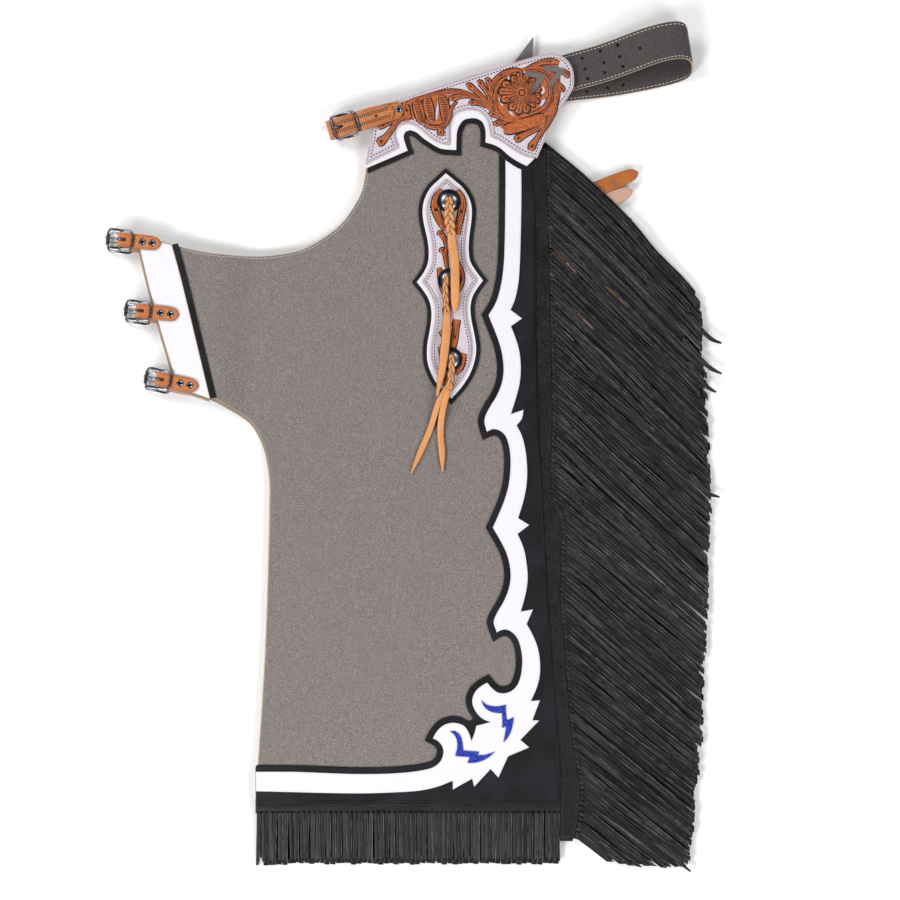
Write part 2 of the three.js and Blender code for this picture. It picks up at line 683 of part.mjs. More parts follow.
// A tongue with an eye round the centre bar, resting on the frame's far end at -X
function buckleTongue(length, bow) {
  const inner = buckleBar + barClearance;
  const outer = inner + tongueEyeWall;
  const eye = new THREE.Shape().absarc(0, 0, outer, 0, 2 * Math.PI);
  eye.holes = [new THREE.Path().absarc(0, 0, inner, 0, 2 * Math.PI, true)];
  const ring = new THREE.ExtrudeGeometry(eye, { depth: tongueWidth, bevelEnabled: false, curveSegments: 6 });
  ring.rotateX(Math.PI / 2).translate(0, tongueWidth / 2, 0);
  const rest = bow + buckleBar + layGap;
  const end = length / 2;
  const shank = sideProfile([
    [-outer * 0.8, outer * 0.5], [-end, rest], [-end - tongueReach, rest],
    [-end - tongueReach, rest + tongueThickness * 0.7], [-end, rest + tongueThickness],
    [-outer * 0.35, outer * 0.87],
  ], tongueWidth);
  return joined([ring, shank]);
}

// One leg buckle: its tab on the facing, the frame and the open tongue
function legBuckleSet(side, number, [across, up, slope], lift) {
  const group = new THREE.Group();
  const top = [[tabBend, tabRise], [legTabLength, tabRise]];
  const profile = sideProfile(wrappedStrap(top, legTabReturn), legStrapWidth);
  const slot = [-slotBack, slotFront];
  const tab = common(profile, strapPlan(-legBuckleLength, legTabLength, legStrapWidth, slot));
  const frame = buckleFrame(legBuckleLength, legBuckleWidth, buckleBow);
  const tongue = buckleTongue(legBuckleLength, buckleBow);
  group.add(
    named(`${side}_buckle_tab_${number}`, tab, materials.tanLeather),
    named(`${side}_buckle_frame_${number}`, frame, materials.nickel),
    named(`${side}_buckle_tongue_${number}`, tongue, materials.nickel),
  );
  const tabFoot = facingTop + layGap;
  group.position.set(across * stepAcross, up * stepUp, tabFoot + strapLeather / 2 - tabRise + lift);
  group.rotation.z = THREE.MathUtils.degToRad(slope);
  return group;
}

// A flat billet under the fringe, with a blunt point
function billet([startAcross, startUp, tipAcross, tipUp], towards) {
  const start = new THREE.Vector2(startAcross * stepAcross, startUp * stepUp);
  const reach = new THREE.Vector2(tipAcross * stepAcross, tipUp * stepUp).sub(start);
  const length = reach.length();
  const half = legStrapWidth / 2;
  const outline = [
    [0, -half], [length - pointLength, -half], [length - pointLength / 3, -half * 0.5], [length, 0],
    [length - pointLength / 3, half * 0.5], [length - pointLength, half], [0, half],
  ].map(([x, y]) => new THREE.Vector2(x, y));
  const geometry = flatPlate(outline, -billetLeather / 2, billetLeather);
  return geometry.rotateZ(reach.angle()).translate(start.x, start.y, towards);
}

// Medallion, conchos and strings

function medallionPiece(margin, level, thickness) {
  const outline = place(medallion);
  return flatPlate(margin === 0 ? outline : beside(outline, margin, true), level, thickness);
}

function concho([across, up]) {
  const radius = conchoDiameter / 2;
  const profile = [
    [0, 0], [radius, 0], [radius, conchoRim], [radius * 0.82, conchoRim * 1.1],
    [radius * 0.7, conchoRise * 0.62], [radius * 0.4, conchoRise * 0.92], [0, conchoRise],
  ].map(([x, y]) => new THREE.Vector2(x, y));
  const dome = new THREE.LatheGeometry(profile, 14).rotateX(Math.PI / 2);
  const merged = facingOut(mergeVertices(dome.deleteAttribute('normal').deleteAttribute('uv'), 1e-3));
  return merged.translate(across * stepAcross, up * stepUp, plateTop + layGap);
}

// A leather string: a braided knot over the concho, then a loose flat tail
function leatherString(tails) {
  const stack = conchoRise + layGap;
  const pieces = tails.map((rows) => band(rows.map(([across, up, lift, width, braided]) => {
    const thickness = braided ? braidThickness : stringLeather;
    const height = plateTop + layGap + lift * stack + thickness / 2;
    return {
      centre: new THREE.Vector3(across * stepAcross, up * stepUp, height),
      across: new THREE.Vector3(1, 0, 0),
      width: width * stringWidth,
      thickness,
    };
  })));
  return pieces.length > 1 ? joined(pieces) : pieces[0];
}

// One leg, built above the middle plane; the right leg is turned face down by its group

function leg(side, lift, fringeFall, billets, decorated) {
  const group = new THREE.Group();
  const add = (name, geometry, material) => group.add(named(`${side}_${name}`, geometry, material));
  add('leg_panel', legPanel(lift), materials.greyLeather);
  add('border', legBorder(), materials.blackLeather);
  add('border_scroll', legScroll(), materials.whiteLeather);
  add('side_fringe', sideFringe(fringeFall), materials.blackLeather);
  add('hem_fringe', hemFringe(fringeFall), materials.blackLeather);
  add('thigh_facing', thighFacing(lift), materials.whiteLeather);
  legBuckles.forEach((row, i) => group.add(legBuckleSet(side, i + 1, row, lift)));
  billets.forEach((row, i) => add(`billet_${i + 1}`, billet(row, 0), materials.tanLeather));
  if (!decorated) {
    add('yoke_plate', flatPlate(backingOutline, borderLevel, trimLeather), materials.tooledLeather);
    return group;
  }
  add('thigh_piping', thighPiping(lift), materials.blackLeather);
  add('yoke_backing', flatPlate(backingOutline, borderLevel, trimLeather), materials.blackLeather);
  const overlay = [...hiddenRim, ...overlayFoot];
  add('yoke_overlay', flatPlate(overlay, scrollLevel, trimLeather), materials.whiteLeather);
  const plate = [...place(yokeRim), ...place(yokePlateFoot)];
  add('yoke_plate', flatPlate(plate, plateLevel, yokeLeather), materials.tooledLeather);
  const flashLevel = scrollLevel + trimLeather + layGap;
  add('flash_side', flatPlate(place(flashSide), flashLevel, flashLeather), materials.blueSatin);
  add('flash_hem', flatPlate(place(flashHem), flashLevel, flashLeather), materials.blueSatin);
  add('medallion_backing', medallionPiece(medallionMargin, borderLevel, trimLeather), materials.blackLeather);
  add('medallion_overlay', medallionPiece(0, scrollLevel, trimLeather), materials.whiteLeather);
  add('medallion_plate', medallionPiece(-medallionInset, plateLevel, yokeLeather), materials.tooledLeather);
  conchos.forEach((row, i) => add(`concho_${i + 1}`, concho(row), materials.silver));
  strings.forEach((tails, i) => add(`string_${i + 1}`, leatherString(tails), materials.tanLeather));
  return group;
}

// Belt, belt lace and front strap, shared by both legs

function belt() {
  const upperLevel = middleHeight + panelLevel + beltLeather / 2;
  const lowerLevel = middleHeight - panelLevel - beltLeather / 2;
  const floorLevel = beltLeather / 2;
  const rows = [
    ...beltUpper.map((row) => [...row, upperLevel]), ...beltFold.map((row) => [...row, floorLevel]),
    ...beltLower.map((row) => [...row, floorLevel]), ...beltLowerEnd.map((row) => [...row, lowerLevel]),
  ];
  return band(rows.map(([across, up, lift, run, foot]) => {
    const turn = THREE.MathUtils.degToRad(run);
    const height = THREE.MathUtils.lerp(foot, floorLevel + beltLoopHeight, lift);
    return {
      centre: new THREE.Vector3(across * stepAcross, up * stepUp, height),
      across: new THREE.Vector3(-Math.sin(turn), Math.cos(turn), 0),
      width: beltWidth,
      thickness: beltLeather,
    };
  }));
}

function chevron(rows) {
  const line = place(rows);
  return [...beside(line, laceWidth / 2), ...beside(line, -laceWidth / 2).reverse()];
}

function frontStrap() {
  const group = new THREE.Group();
  const [across, up, slope] = frontBuckle;
  const half = strapLeather / 2;
  const chapeFoot = middleHeight + plateTop + layGap;
  const bar = middleHeight + plateTop - frontBarSeat;
  const seat = chapeFoot + half - bar;
  const chapeTop = [
    [tabBend, tabRise], [chapeRampStart, tabRise], [chapeRampEnd, seat], [frontChapeLength, seat],
  ];
  const chape = common(
    sideProfile(wrappedStrap(chapeTop, frontChapeReturn), frontStrapWidth),
    strapPlan(-legBuckleLength, frontChapeLength, frontStrapWidth, [-slotBack, slotFront]),
  );
  const over = buckleBar + barClearance + strapLeather + layGap + half;
  const level = tabRise + strapLeather + layGap;
  const hidden = middleHeight - bar;
  const turnRadius = (level - hidden) / 2;
  const turnCentre = [-legBuckleLength / 2 - buckleBar, (level + hidden) / 2];
  const turn = [1, 2, 3, 4, 5].map((i) => {
    const angle = Math.PI / 2 + (i / 6) * Math.PI;
    return [turnCentre[0] + turnRadius * Math.cos(angle), turnCentre[1] + turnRadius * Math.sin(angle)];
  });
  const overBend = tabBend + half;
  const path = [
    [frontBilletLength, seat + strapLeather + layGap], [chapeRampEnd - half, seat + strapLeather + layGap],
    [chapeRampStart - half, level], [overBend, level], [buckleBar * 2, over], [-buckleBar * 2, over],
    [-overBend, level], [turnCentre[0], level], ...turn, [turnCentre[0], hidden], [frontBilletHidden, hidden],
  ].map(([x, z]) => new THREE.Vector2(x, z));
  const outline = [...beside(path, half), ...beside(path, -half).reverse()].map(({ x, y }) => [x, y]);
  const slot = [-billetSlotBack, -billetSlotFront];
  const billetSolid = common(
    sideProfile(outline, frontStrapWidth),
    strapPlan(-legBuckleLength, frontBilletLength, frontStrapWidth, slot),
  );
  const frame = buckleFrame(legBuckleLength, frontBuckleWidth, frontBuckleBow);
  const tongue = buckleTongue(legBuckleLength, frontBuckleBow);
  group.add(
    named('front_chape', chape, materials.tanLeather),
    named('front_billet', billetSolid, materials.tanLeather),
    named('front_buckle_frame', frame, materials.nickel),
    named('front_buckle_tongue', tongue, materials.nickel),
  );
  group.position.set(across * stepAcross, up * stepUp, bar);
  group.rotation.z = THREE.MathUtils.degToRad(slope);
  return group;
}

// Assembly

const rightTipHeight = 0;
const leftTipHeight = panelLeather + fringeTipGap;
const leftFall = middleHeight + panelLevel - leftTipHeight;
const rightFall = middleHeight - panelLevel - panelLeather - rightTipHeight;

const left = leg('left', thighLift, leftFall, leftBillets, true);
left.position.z = middleHeight;

const right = leg('right', -thighLift, -rightFall, rightBillets, false);
right.scale.z = -1;
right.position.set(legShiftAcross, legShiftUp, middleHeight);

const chaps = new THREE.Group();
chaps.add(left, right, frontStrap(), named('belt', belt(), materials.greyLeather));
laceChevrons.forEach((rows, i) => {
  const lace = flatPlate(chevron(rows), middleHeight + plateTop + layGap, laceLeather);
  chaps.add(named(`belt_lace_${i + 1}`, lace, materials.greyLeather));
});
const laceEndPlate = flatPlate(place(laceEnd), middleHeight - laceLeather / 2, laceLeather);
chaps.add(named('belt_lace_end', laceEndPlate, materials.greyLeather));

// The origin is the middle of the footprint, on the surface that the chaps lie on
const box = new THREE.Box3().setFromObject(chaps);
const middle = box.getCenter(new THREE.Vector3());
chaps.position.set(-middle.x, -middle.y, -box.min.z);

export default chaps;
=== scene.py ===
import math
import random

import bmesh
import bpy
import numpy as np
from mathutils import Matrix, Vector, noise
from mathutils.geometry import delaunay_2d_cdt


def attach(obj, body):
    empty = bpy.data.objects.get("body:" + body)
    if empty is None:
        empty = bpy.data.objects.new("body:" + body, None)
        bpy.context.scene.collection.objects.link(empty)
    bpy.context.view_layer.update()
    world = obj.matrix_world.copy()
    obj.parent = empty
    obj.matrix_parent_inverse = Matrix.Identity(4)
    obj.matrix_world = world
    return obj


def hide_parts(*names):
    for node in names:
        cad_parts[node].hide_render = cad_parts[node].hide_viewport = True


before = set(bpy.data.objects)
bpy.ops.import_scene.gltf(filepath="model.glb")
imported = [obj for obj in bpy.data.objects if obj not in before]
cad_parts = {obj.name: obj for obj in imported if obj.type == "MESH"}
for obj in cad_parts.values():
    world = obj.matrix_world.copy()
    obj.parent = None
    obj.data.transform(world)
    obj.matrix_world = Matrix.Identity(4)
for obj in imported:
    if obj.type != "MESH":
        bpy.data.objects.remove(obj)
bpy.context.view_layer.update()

MM = 0.001
chance = random.Random(11)

# Outlines are drafted on a grid of 1.2 mm squares, counted from the hem's inner corner
SQUARE = 1.2 * MM
GRID_X, GRID_Y = -183.680 * MM, -429.357 * MM

# The right leg lies a little left of and below the left leg
RIGHT_SHIFT = np.array([-1.2 * MM, -3.6 * MM])

# Lowest and highest level of each layer, in millimetres above the floor
LEVELS = {
    "right_scroll": (0.0, 1.4), "right_border": (1.7, 3.1), "right_panel": (3.4, 5.4),
    "billet": (5.7, 7.7), "left_panel": (8.0, 10.0), "left_border": (10.3, 11.7),
    "left_scroll": (12.0, 13.4), "flash": (13.7, 14.7), "plate": (13.7, 15.7),
    "lace": (16.0, 17.2), "lace_end": (6.1, 7.3),
}
THIGH_LIFT = 6.5 * MM
RAMP = (-186.1 * MM, -229.3 * MM)
FLOOR_GAP = 0.4 * MM


def squares(rows):
    """Grid squares to metres in the chaps' frame; further columns stay."""
    rows = np.array(rows, float)
    rows[:, 0] = rows[:, 0] * SQUARE + GRID_X
    rows[:, 1] = rows[:, 1] * SQUARE + GRID_Y
    return rows


def seen(rows):
    """Points measured from the top left corner of the drawing, one square apart, to metres."""
    rows = np.array(rows, float)
    rows[:, 0] -= 256
    rows[:, 1] = 803 - rows[:, 1]
    return squares(rows)


# Camera, straight above

CAMERA_HEIGHT = 3.012
lens = bpy.data.cameras.new("overhead_camera")
lens.lens = 100
lens.sensor_width = 36
camera = bpy.data.objects.new("overhead_camera", lens)
camera.location = (49.12 * MM, -5.76 * MM, CAMERA_HEIGHT)
bpy.context.scene.collection.objects.link(camera)
bpy.context.scene.camera = camera


# Materials

def colour(code):
    """An sRGB hex value as linear light."""
    parts = [int(code[i:i + 2], 16) / 255 for i in (1, 3, 5)]
    return [p / 12.92 if p <= 0.04045 else ((p + 0.055) / 1.055) ** 2.4 for p in parts] + [1.0]


def add_node(tree, kind, values=None, links=None, **settings):
    """One node with its settings, its socket values and the outputs that feed it."""
    node = tree.nodes.new(kind)
    for key, value in settings.items():
        setattr(node, key, value)
    for socket, value in (values or {}).items():
        node.inputs[socket].default_value = value
    for socket, source in (links or {}).items():
        tree.links.new(source, node.inputs[socket])
    return node


def surface(name, high, low, grain, depth, rough, blotch="#808080", blotch_share=0.12, blotch_size=60,
            stretch=(1, 1, 1), cells=True, sharp=1.0, turn=0.0, wander=1.0, **constants):
    """A grained surface: high and low are the colours of its tops and valleys, grain and blotch_size are in
    millimetres, depth is the valleys' depth in millimetres, rough the roughness of tops and valleys."""
    material = bpy.data.materials.new(name)
    material.use_nodes = True
    tree = material.node_tree
    tree.nodes.clear()
    place = add_node(tree, "ShaderNodeTexCoord")
    drift = add_node(tree, "ShaderNodeTexNoise", {"Scale": 0.35 / (grain * wander * MM), "Detail": 2.0},
                     {"Vector": place.outputs["Object"]})
    shift = add_node(tree, "ShaderNodeVectorMath", {1: (0.5, 0.5, 0.5)}, {0: drift.outputs["Color"]},
                     operation="SUBTRACT")
    scaled = add_node(tree, "ShaderNodeVectorMath", {"Scale": grain * wander * MM * 1.9},
                      {0: shift.outputs[0]},
                      operation="SCALE")
    moved = add_node(tree, "ShaderNodeVectorMath", None,
                     {0: place.outputs["Object"], 1: scaled.outputs[0]}, operation="ADD")
    laid = add_node(tree, "ShaderNodeMapping", {"Rotation": (0, 0, turn), "Scale": stretch},
                    {"Vector": moved.outputs[0]})
    if cells:
        pattern = add_node(tree, "ShaderNodeTexVoronoi", {"Scale": 1 / (grain * MM)},
                           {"Vector": laid.outputs[0]}, feature="DISTANCE_TO_EDGE")
        height = add_node(tree, "ShaderNodeMapRange", {1: 0.0, 2: 0.32 * sharp, 3: 0.0, 4: 1.0},
                          {0: pattern.outputs["Distance"]}, interpolation_type="SMOOTHSTEP").outputs[0]
    else:
        height = add_node(tree, "ShaderNodeTexNoise", {"Scale": 1 / (grain * MM), "Detail": 3.0},
                          {"Vector": laid.outputs[0]}).outputs["Fac"]
    tone = add_node(tree, "ShaderNodeMix", {6: colour(low), 7: colour(high)}, {0: height}, data_type="RGBA")
    patch = add_node(tree, "ShaderNodeTexNoise", {"Scale": 1 / (blotch_size * MM), "Detail": 4.0},
                     {"Vector": place.outputs["Object"]})
    share = add_node(tree, "ShaderNodeMapRange", {1: 0.38, 2: 0.66, 3: 0.0, 4: blotch_share},
                     {0: patch.outputs["Fac"]})
    # Blotches in the blotch colour: random tone on most finishes; on the fringe leathers, painted shade over
    # groups of strips
    blotch_tone_and_painted_shade = add_node(tree, "ShaderNodeMix", {7: colour(blotch)}, {0: share.outputs[0], 6: tone.outputs[2]},
                    data_type="RGBA")
    gloss = add_node(tree, "ShaderNodeMapRange", {1: 0.0, 2: 1.0, 3: rough[1], 4: rough[0]}, {0: height})
    relief = add_node(tree, "ShaderNodeBump", {"Strength": 1.0, "Distance": depth * MM}, {"Height": height})
    shader = add_node(tree, "ShaderNodeBsdfPrincipled", constants,
                      {"Base Color": blotch_tone_and_painted_shade.outputs[2], "Roughness": gloss.outputs[0],
                       "Normal": relief.outputs[0]})
    add_node(tree, "ShaderNodeOutputMaterial", None, {"Surface": shader.outputs[0]})
    return material


# Tumbled cowhide, drum-dyed grey: soft pebbles of about 1 by 3 mm that run slantwise
grey_cowhide = surface("tumbled_grey_cowhide", "#968d89", "#625a57", 1.9, 0.24, (0.50, 0.70), "#7b726e", 0.25,
                       45, stretch=(1.9, 0.62, 1), turn=0.75, sharp=0.8, wander=1.4)
# The cut edge of the same hide: paler fibre
grey_edge = surface("cut_grey_hide_edge", "#c9b394", "#9c8264", 0.6, 0.08, (0.8, 0.9), cells=False)
# Lacing cut from a firmer grey hide: nearly smooth
lace_grey = surface("smooth_grey_lacing", "#77716f", "#655f5d", 1.6, 0.05, (0.45, 0.6), "#5b5553", 0.4, 12)
# Fibrous flesh side of the hide, brushed
flesh_side = surface("brushed_flesh_side", "#a9998d", "#85766c", 0.9, 0.12, (0.85, 0.95), cells=False)
# Smooth black chrome-tanned side leather with a fine grain and a faint bloom
black_leather = surface("smooth_black_side_leather", "#17181c", "#0b0b0e", 1.0, 0.03, (0.31, 0.38),
                        "#26272c", 0.5, 38)
# Black fringe leather: a coarser grain whose tops catch the light, and large near-black blotches that are
# painted shade over groups of strips
fringe_leather = surface("grained_black_fringe_leather", "#25252a", "#050506", 1.5, 0.12, (0.34, 0.46),
                         "#040405", 0.85, 24, IOR=1.38)
# The same leather, darker and with hardly any shine: the black pieces' backs, and painted shade on the fringe
# strips picked to lie in shadow
dull_black_back_and_strip_shade = surface("dull_black_fringe_leather", "#0c0c0f", "#020202", 1.5, 0.12, (0.36, 0.46), "#030303",
                      0.7,
                      16, IOR=1.35)
# Cut edge of the fringe: grey fibre that shows as a thin light line; it goes only on each strip's raised
# edge, so it is partly the fibre and partly a painted highlight
fringe_fibre_and_highlight = surface("cut_fringe_fibre", "#85868e", "#3c3d43", 0.7, 0.05, (0.6, 0.75), "#08080a", 1.0, 12,
                       cells=False)
# Deep black edge dye; on the fringe strips' dipped edges and in the belt's holes it is painted shade
black_edge_dye_and_shade = surface("black_edge_dye", "#030304", "#010101", 0.7, 0.02, (0.32, 0.4), cells=False, IOR=1.3)
# White pigmented leather, smooth, with the faintest grain
white_leather = surface("smooth_white_pigmented_leather", "#ebe9ee", "#dedbe2", 1.4, 0.02, (0.42, 0.52),
                        "#e4e1e8", 0.3, 50)
# Its cut edge: greyer, partly the edge's own colour and partly painted shade, so that each white piece has a
# thin line round it
white_edge_and_shade_line = surface("white_leather_edge", "#c9c4c8", "#9d979b", 0.6, 0.05, (0.6, 0.8), cells=False)
# Metallic blue foil leather: crushed glitter that sparkles in small flakes
blue_foil = surface("crushed_blue_foil_leather", "#3f5ae0", "#1c2a8c", 1.2, 0.12, (0.22, 0.45), "#16207a",
                    0.4,
                    4, Metallic=0.55)
# Tooled ground: off-white painted veg-tan leather, matted with a fine beading stamp
tooled_ground = surface("painted_veg_tan_ground", "#ddd3da", "#c2b5be", 1.3, 0.10, (0.5, 0.66), "#cabdc6",
                        0.5,
                        16)
# The groove creased along the rims of the tooled pieces: a soft mauve line
groove_line = surface("creased_mauve_groove", "#a18c98", "#846f7b", 0.8, 0.03, (0.6, 0.7), cells=False)
# Carved veg-tan leather under antique finish: orange tan, darker in the cuts
carved_tan = surface("antiqued_carved_veg_tan", "#db7f45", "#a54c1c", 1.3, 0.07, (0.36, 0.5), "#7c3411",
                     0.6, 3.5)
# The swivel knife's cuts, filled with ink: a sharp dark outline
cut_black = surface("inked_swivel_cut", "#120a06", "#050302", 0.8, 0.03, (0.4, 0.5), cells=False, IOR=1.3)
# Oiled harness leather of the straps: smooth tan with a warm, slightly mottled face
strap_tan = surface("oiled_tan_harness_leather", "#d58b57", "#ab6433", 1.4, 0.06, (0.36, 0.5), "#b5672f", 0.4,
                    12)
# Burnished strap edges: a dark line with a low gloss
strap_edge = surface("burnished_strap_edge", "#8a4520", "#6a3013", 0.6, 0.03, (0.35, 0.5), cells=False)
# The straps' backs: pale and rough
strap_flesh = surface("rough_strap_back", "#cfa893", "#b48b76", 0.9, 0.10, (0.85, 0.95), cells=False)
# The billets' tan: the strap tan painted darker all over, as the shade they lie in under the fringe
shaded_billet_tan = surface("russet_billet_leather", "#c07538", "#a35a27", 1.2, 0.03, (0.36, 0.5), "#8c4a1e", 0.5,
                     12)
# Belt hide: the same grey, darker and flatter from wear
belt_hide = surface("worn_grey_belt_hide", "#524b49", "#302b2a", 2.2, 0.2, (0.5, 0.68), "#3e3836", 0.4, 30,
                    stretch=(1.7, 0.7, 1), turn=0.4)
# Pale latigo leather of the strings
latigo = surface("pale_latigo_leather", "#e2a169", "#cf8b52", 1.6, 0.03, (0.42, 0.55), "#c98549", 0.5, 22)
# Their cut edges, browner than the face; also the painted shade between the strands of the plaits
latigo_edge_and_plait_shade = surface("latigo_cut_edge", "#8f5a34", "#6c3f20", 0.6, 0.03, (0.6, 0.8), cells=False)
# Threads: twisted polyester, white and black
white_thread = surface("white_twisted_thread", "#f1efec", "#c9c5c1", 0.5, 0.06, (0.5, 0.7), cells=False)
black_thread = surface("black_twisted_thread", "#060607", "#020202", 0.5, 0.06, (0.5, 0.7), cells=False,
                       IOR=1.3)
# Nickel plate on steel wire, polished and lightly scuffed
nickel = surface("polished_nickel_plate", "#94979e", "#6d7077", 1.0, 0.012, (0.22, 0.32), "#3c3e44", 0.7, 3,
                 cells=False, Metallic=1.0)
# Concho: silver plate; its low rim is black, partly blackened silver and partly a painted dark reflection
bright_silver = surface("polished_silver_plate", "#a9acb4", "#7d8088", 1.2, 0.012, (0.26, 0.36), "#2b2d33",
                        0.6,
                        4, cells=False, Metallic=1.0)
# The concho rim's black: partly antique blackening, partly painted dark reflection; it is also the painted
# shade in the rivets' sunk middles
black_silver_and_painted_dark = surface("blackened_silver", "#17181b", "#0a0a0c", 1.0, 0.03, (0.28, 0.42), "#26282d", 0.5, 3,
                       cells=False, Metallic=0.6)
# Pale seamless paper under the chaps
paper = surface("pale_backdrop_paper", "#fbfbfb", "#f6f6f6", 2.0, 0.01, (0.9, 0.95), "#f4f4f4", 0.3, 400,
                cells=False)


# Mesh helpers

class Pile:
    """Points and faces gathered for one mesh."""

    def __init__(self):
        self.points, self.faces, self.finishes, self.count = [], [], [], 0

    def add(self, points, faces, finish=0):
        start = self.count
        self.points.append(np.asarray(points, float))
        self.count += len(points)
        self.faces += [[i + start for i in face] for face in faces]
        self.finishes += [finish] * len(faces)


def make(name, pile, finishes, nodes=(), body="root", even=False):
    """A mesh piece that rides on a body and stands for its CAD nodes."""
    mesh = bpy.data.meshes.new(name)
    mesh.from_pydata(np.vstack(pile.points).tolist(), [], pile.faces)
    for finish in finishes:
        mesh.materials.append(finish)
    mesh.polygons.foreach_set("material_index", pile.finishes)
    mesh.polygons.foreach_set("use_smooth", [True] * len(pile.faces))
    work = bmesh.new()
    work.from_mesh(mesh)
    bmesh.ops.recalc_face_normals(work, faces=work.faces)
    work.to_mesh(mesh)
    work.free()
    piece = bpy.data.objects.new(name, mesh)
    bpy.context.scene.collection.objects.link(piece)
    if even:
        piece.modifiers.new("even_shading", "WEIGHTED_NORMAL").weight = 50
    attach(piece, body)
    if nodes:
        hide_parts(*nodes)
    return piece


def unit(rows):
    return rows / np.maximum(np.linalg.norm(rows, axis=-1, keepdims=True), 1e-12)


def curve(rows, step, closed=False, dims=2):
    """A smooth line through the rows; the first columns are the place, and any others go along."""
    rows = np.asarray(rows, float)
    count, out = len(rows), []
    for i in range(count if closed else count - 1):
        b, c = rows[i], rows[(i + 1) % count]
        a = rows[i - 1] if closed or i else 2 * b - c
        d = rows[(i + 2) % count] if closed or i + 2 < count else 2 * c - b
        g, h, k = [max(np.linalg.norm(q[:dims] - p[:dims]), 1e-7) ** 0.5 for p, q in ((a, b), (b, c), (c, d))]
        leave = h * ((b - a) / g - (c - a) / (g + h) + (c - b) / h)
        arrive = h * ((c - b) / h - (d - b) / (h + k) + (d - c) / k)
        parts = max(1, math.ceil(h * h / step))
        for t in np.arange(parts) / parts:
            out.append((2 * t ** 3 - 3 * t ** 2 + 1) * b + (t ** 3 - 2 * t ** 2 + t) * leave
                       + (3 * t ** 2 - 2 * t ** 3) * c + (t ** 3 - t ** 2) * arrive)
    if not closed:
        out.append(rows[-1])
    return np.array(out)


def turning(loop):
    into, out = unit(loop - np.roll(loop, 1, 0)), unit(np.roll(loop, -1, 0) - loop)
    return np.degrees(np.arccos(np.clip((into * out).sum(1), -1, 1)))


def rounded(loop, step=2.2 * MM, corner=38):
    """A closed outline with its curves smoothed and its corners kept."""
    loop = loop[turning(loop) > 1]
    corners = np.flatnonzero(turning(loop) > corner)
    if not len(corners):
        return curve(loop, step, closed=True)
    loop = np.roll(loop, -corners[0], 0)
    ends = [*(corners - corners[0]), len(loop)]
    again = np.vstack([loop, loop[:1]])
    return np.vstack([curve(again[a:b + 1], step)[:-1] for a, b in zip(ends, ends[1:])])


def area_of(loop):
    after = np.roll(loop, -1, 0)
    return (loop[:, 0] * after[:, 1] - after[:, 0] * loop[:, 1]).sum() / 2


def inset(loop, distance):
    """The loop moved to its left."""
    into, out = unit(loop - np.roll(loop, 1, 0)), unit(np.roll(loop, -1, 0) - loop)
    along = unit(into + out)
    lean = np.maximum((along * out).sum(1), 0.5)
    return loop + np.stack([-along[:, 1], along[:, 0]], 1) * (distance / lean)[:, None]


def clear_of(points, loops, gap):
    """Which points lie inside the loops and at least a gap away from them."""
    within = np.zeros(len(points), bool)
    near = np.full(len(points), 1e9)
    x, y = points[:, 0], points[:, 1]
    for loop in loops:
        for a, b in zip(loop, np.roll(loop, -1, 0)):
            if a[1] != b[1]:
                crosses = (a[1] > y) != (b[1] > y)
                within ^= crosses & (x < a[0] + (y - a[1]) * (b[0] - a[0]) / (b[1] - a[1]))
            if gap:
                along = b - a
                share = np.clip(((points - a) @ along) / max(along @ along, 1e-15), 0, 1)
                near = np.minimum(near, np.linalg.norm(points - a - share[:, None] * along, axis=1))
    return within & (near > gap) if gap else within


def outline_of(node):
    """The outline loops of a CAD plate, seen from above."""
    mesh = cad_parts[node].data
    spots = [(round(v.co.x, 5), round(v.co.y, 5)) for v in mesh.vertices]
    edges = set()
    for face in mesh.polygons:
        ring = [spots[i] for i in face.vertices]
        if face.normal.z > 0.3:
            for a, b in zip(ring, ring[1:] + ring[:1]):
                if (b, a) in edges:
                    edges.remove((b, a))
                elif a != b:
                    edges.add((a, b))
    follow, loops = dict(edges), []
    while follow:
        start, here = next(iter(follow.items()))
        loop = [start]
        while here in follow and here != start:
            loop.append(here)
            here = follow.pop(here)
        follow.pop(start, None)
        if len(loop) > 2:
            loops.append(np.array(loop))
    return sorted(loops, key=lambda loop: -abs(area_of(loop)))


